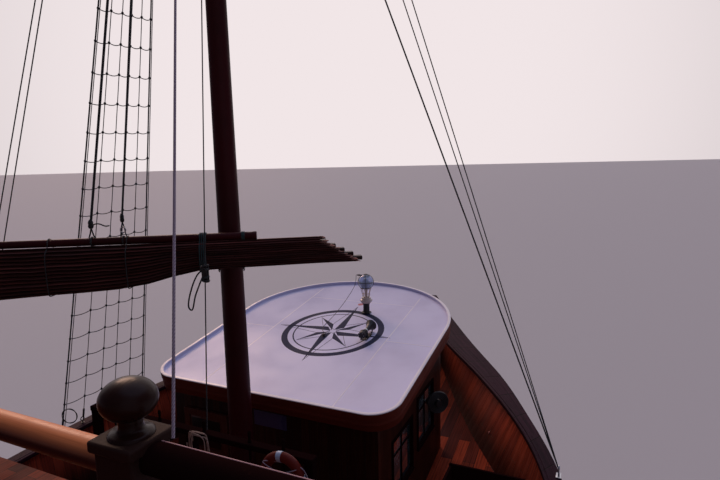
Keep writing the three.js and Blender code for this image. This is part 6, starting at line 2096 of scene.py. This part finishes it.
@dataclass
class ForedeckGear:
    """Hatch, windlass and anchors at the bow."""

    anchor_x: float = 14.4
    anchor_top: float = 4.28
    crown: float = 3.07
    drum: tuple[float, float, float] = (14.35, 0.0, 3.6324)

    def anchor(self, side: int, name: str) -> None:
        """A stocked anchor outside the bow: shank, curved arms with palms, fore and aft stock, ring."""
        y, high = side * (float(line("cap", self.anchor_x)) + 0.04), self.anchor_top - self.crown
        foot, iron, sweep = np.array([self.anchor_x, y, self.crown]), Surface(), np.linspace(-1.0, 1.0, 25)
        top, way = foot + (0, 0, high), compass(side * math.radians(32.0))
        iron.lathe([(0, 0), (0.048, 0), (0.046, 0.1), (0.036, 0.6), (0.034, high - 0.12), (0.026, high - 0.1),
                    (0, high - 0.1)], foot, sides=16)
        arms = foot + 0.34 * sweep[:, None] * way + np.outer(0.26 * np.abs(sweep) ** 1.8, (0, 0, 1))
        iron.tube(arms, 0.045 - 0.02 * np.abs(sweep), sides=12)
        for end in (-1, 1):
            tip = foot + 0.3 * end * way + (0, 0, 0.2)
            iron.tube([tip - (0, 0, 0.09), tip, tip + (0, 0, 0.1)], (0.02, 0.06, 0.012), sides=4)
        stock, reach = top - (0, 0, 0.26), np.array([0.26, 0.0, 0.0])
        iron.tube([stock - reach, stock, stock + reach], (0.018, 0.026, 0.018), sides=12)
        iron.tube(hoop(top - (0, 0, 0.15), 0.05, "xz", count=24), 0.012, closed=True)
        iron.build(f"{name}_anchor_iron", IRON, replaces=[f"anchor_{name}"], sharp=50.0)

    def windlass(self) -> None:
        """A turned drum with flanges, along whose barrel eight whelps lie."""
        surface, at = Surface(), np.array(self.drum)
        half = mm(83, 100, 95, 315, 168, 320, 170, 324, 170, 356, 168, 360, 110, 365, 110, 410, 50, 410, 50,
                  430, 0, 430)
        surface.lathe(np.vstack([half[::-1] * (1, -1), half]), at, (0, 1, 0), sides=48)
        for angle in turns(8):
            way = compass(angle, "xz")
            whelp = [at + 0.1 * way - (0, 0.3, 0), at + 0.092 * way, at + 0.1 * way + (0, 0.3, 0)]
            surface.tube(spline(whelp, 24), 0.014)
        surface.build("windlass_barrel", IRON, Body.WINDLASS_DRUM, ["windlass_drum"], sharp=40.0)

    def build(self) -> None:
        """The hatch's lid gets boards and bars, the windlass a whelped drum, the anchors stocks and arms."""
        coat(TRIM, "hatch_coaming")
        low, high = (np.array(corner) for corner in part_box("hatch_lid"))
        edges, bars = np.linspace(low[1], high[1], 7), np.array([low[0] + 0.08, high[0] - 0.14])
        lid = Surface().boxes(stack(low[0], edges[:-1] + 0.002, low[2]),
                              stack(high[0], edges[1:] - 0.002, high[2] - 0.008))
        lid.boxes(stack(bars, low[1], high[2] - 0.012), stack(bars + 0.06, high[1], high[2]))
        lid.build("hatch_lid_boards", DECK_PLANKS, Body.HATCH_LID, ["hatch_lid"], bevel=0.004)
        coat(IRON, "windlass_frame")
        self.anchor(1, "port")
        self.anchor(-1, "starboard")
        self.windlass()


@dataclass
class Stage:
    """Camera, floor, daylight studio lights and world."""

    eye: tuple[float, float, float] = (3.0, -4.192, 8.0)
    right: tuple[float, float, float] = (0.41539, -0.90936, -0.02275)
    up: tuple[float, float, float] = (0.13948, 0.03896, 0.98946)
    forward: tuple[float, float, float] = (0.89889, 0.41419, -0.14302)
    lens: float = 26.0
    ahead: tuple[float, float, float] = (0.89, 0.42, 0.16)
    bright: Colour = (0.88, 0.79, 0.8)
    dim: Colour = (0.06, 0.05, 0.075)
    floor: Colour = (0.5, 0.5, 0.52)

    def camera(self) -> None:
        """The photograph's camera: its axes are the columns of its matrix."""
        data = bpy.data.cameras.new("photo_camera")
        data.lens, data.sensor_width, data.clip_start, data.clip_end = self.lens, 36.0, 0.05, 6000.0
        eye = bpy.data.objects.new("photo_camera", data)
        columns = [(*self.right, 0.0), (*self.up, 0.0), (*(-v for v in self.forward), 0.0), (*self.eye, 1.0)]
        eye.matrix_world = Matrix(columns).transposed()
        bpy.context.scene.collection.objects.link(eye)
        bpy.context.scene.camera = eye

    def lamp(self, name: str, toward: Sequence[float], strength: float, spread: float,
             colour: Colour) -> None:
        """A broad even light from the direction given, its spread in degrees making the shadows soft."""
        data = bpy.data.lights.new(name, "SUN")
        data.energy, data.angle, data.color = strength, math.radians(spread), colour
        lamp = bpy.data.objects.new(name, data)
        lamp.matrix_world = Vector(toward).to_track_quat("Z", "Y").to_matrix().to_4x4()
        bpy.context.scene.collection.objects.link(lamp)

    def backdrop(self) -> None:
        """World light: brightest ahead of the ship, fading smoothly with the angle away from there."""
        world = bpy.data.worlds.new("plain_world")
        world.use_nodes = True
        nodes, links = world.node_tree.nodes, world.node_tree.links
        way, dot = nodes.new("ShaderNodeTexCoord"), nodes.new("ShaderNodeVectorMath")
        dot.operation = "DOT_PRODUCT"
        dot.inputs[1].default_value = Vector(self.ahead).normalized()
        fade, mix = nodes.new("ShaderNodeMapRange"), nodes.new("ShaderNodeMix")
        fade.interpolation_type = "SMOOTHSTEP"
        fade.inputs["From Min"].default_value, fade.inputs["From Max"].default_value = 0.3, 0.98
        mix.data_type = "RGBA"
        mix.inputs["A"].default_value, mix.inputs["B"].default_value = (*self.dim, 1.0), (*self.bright, 1.0)
        links.new(way.outputs["Generated"], dot.inputs[0])
        links.new(dot.outputs["Value"], fade.inputs["Value"])
        links.new(fade.outputs["Result"], mix.inputs["Factor"])
        links.new(mix.outputs["Result"], nodes["Background"].inputs[0])
        bpy.context.scene.world = world

    def build(self) -> None:
        """Floor at the waterline, a world bright ahead, a key light to port, a broad top light, a fill."""
        self.camera()
        across = np.linspace(-2000.0, 2000.0, 5)
        surface = Surface().grid(stack(across[:, None], across, 0))
        mesh = bpy.data.meshes.new("floor")
        mesh.from_pydata(surface.points[0].tolist(), [], surface.faces[0].tolist())
        plain = Graph("floor_plain")
        mesh.materials.append(plain.shade(self.floor, 0.85))
        floor = bpy.data.objects.new("floor", mesh)
        bpy.context.scene.collection.objects.link(floor)
        self.backdrop()
        self.lamp("key", (0.52, 0.66, 0.5), 1.0, 24.0, (1.0, 0.62, 0.45))
        self.lamp("top", (0.25, -0.15, 1.0), 0.6, 70.0, (0.6, 0.68, 1.0))
        self.lamp("fill", (-0.55, -0.72, 0.4), 0.12, 60.0, (0.9, 0.9, 1.0))
        bpy.context.scene.view_settings.view_transform = "Standard"
        LOG.info("stage set")


FORE_MAST = Mast("fore_mast", 8.195, 2.34, 17.4, 0.17, 0.075, (3.2, 12.0, 13.8, 15.4), cleats=(2.2, -0.95))
MAIN_MAST = Mast("main_mast", -2.6, 2.0, 21.2, 0.23, 0.09, (8.3, 11.2, 13.1, 15.0, 16.9, 18.8), collar=6.4)
MIZZEN_MAST = Mast("mizzen_mast", -11.9, 2.0, 14.6, 0.15, 0.07, (6.2, 8.6, 10.2, 11.8, 13.2), collar=4.0)


def rail_feet(stations: Sequence[float], sides: Sequence[int], inboard: float = 0.12) -> Array:
    """Feet of shrouds on the cap rail at stations, on each side."""
    feet = edge("cap", np.array(stations)) - (0, inboard, 0)
    return np.vstack([feet * (1, side, 1) for side in sides])


def main() -> None:
    """Builds the stage, then the ship from the photograph's foreground outwards."""
    logging.basicConfig(level=logging.INFO, format="%(name)s: %(message)s")
    Stage().build()
    Cable().build()
    PinRail().build()
    Canopy().build()
    Searchlight().build()
    Horn().build()
    House().build()
    for mast in (FORE_MAST, MAIN_MAST, MIZZEN_MAST):
        mast.build()
    Sail("fore", Body.FORE_SAIL, FORE_MAST, math.radians(-58.0), 1.2, 4.05, (0.36, 4.2), 7.15, 6.8, 6.52,
         (7.0, 5.25),
         lifts=((1.49, 0.014), (1.145, 0.011)), seed=11).build()
    Sail("main", Body.MAIN_SAIL, MAIN_MAST, 0.0, 2.1, 6.6, (0.9, 6.9), 9.75, 9.25, 8.85, (7.0, 8.7),
         lifts=((2.6, 0.014), (1.9, 0.012)), seed=23, along=110, per_fold=6).build()
    Sail("mizzen", Body.MIZZEN_SAIL, MIZZEN_MAST, 0.0, 0.9, 2.7, (0.3, 2.9), 7.35, 7.0, 6.75, (7.0, 3.6),
         lifts=((1.1, 0.011),), seed=37, along=90, per_fold=6).build()
    ForeRigging(FORE_MAST, "fore_rigging", (), 0.012).build()
    Shrouds(MAIN_MAST, "main_rigging", rail_feet((-1.2, -2.0), SIDES), 0.014).build()
    Shrouds(MIZZEN_MAST, "mizzen_rigging", rail_feet((-11.2,), SIDES), 0.01).build()
    RunningRopes().build()
    CapRail().build()
    Bulwarks().build()
    Balustrade("sundeck", "sundeck_balustrade", (
        (-8.3, 1.5), (-8.3, -3.45), (1.7, -3.45), (1.7, -4.4), (3.85, -4.4), (3.85, -3.17), (3.85, 4.4),
        (1.7, 4.4),
        (1.7, 3.45), (-8.3, 3.45), (-8.3, 2.5),
    ), 6.4, lowered=(5, 0.032), hidden=5, shaded_bay=4).build()
    Balustrade("upper_deck_rail", "upper_deck_balustrade", (
        (7.0, -3.75), (3.5, -4.0), (-9.4, -4.0), (-9.4, -3.35), (-14.5, -3.35), (-14.5, 3.35), (-9.4, 3.35),
        (-9.4, 4.0),
        (3.5, 4.0), (7.0, 3.75),
    ), 4.0).build()
    # A near-black screen at the stair head, in the painted-shade finish.
    screen = Surface().boxes([(6.99, -3.75, 4.0004), (6.35, -3.155, 4.0004)],
                             [(7.012, -3.13, 5.49), (6.995, -3.133, 5.475)])
    screen.build("stair_head_screen", PAINTED_SHADE_BLACK, bevel=0.003)
    Newel().build()
    LifeRing().build()
    Cabins().build()
    Hull().build()
    Steering().build()
    ForedeckGear().build()
    HoseReel().build()


if __name__ == "__main__":
    main()
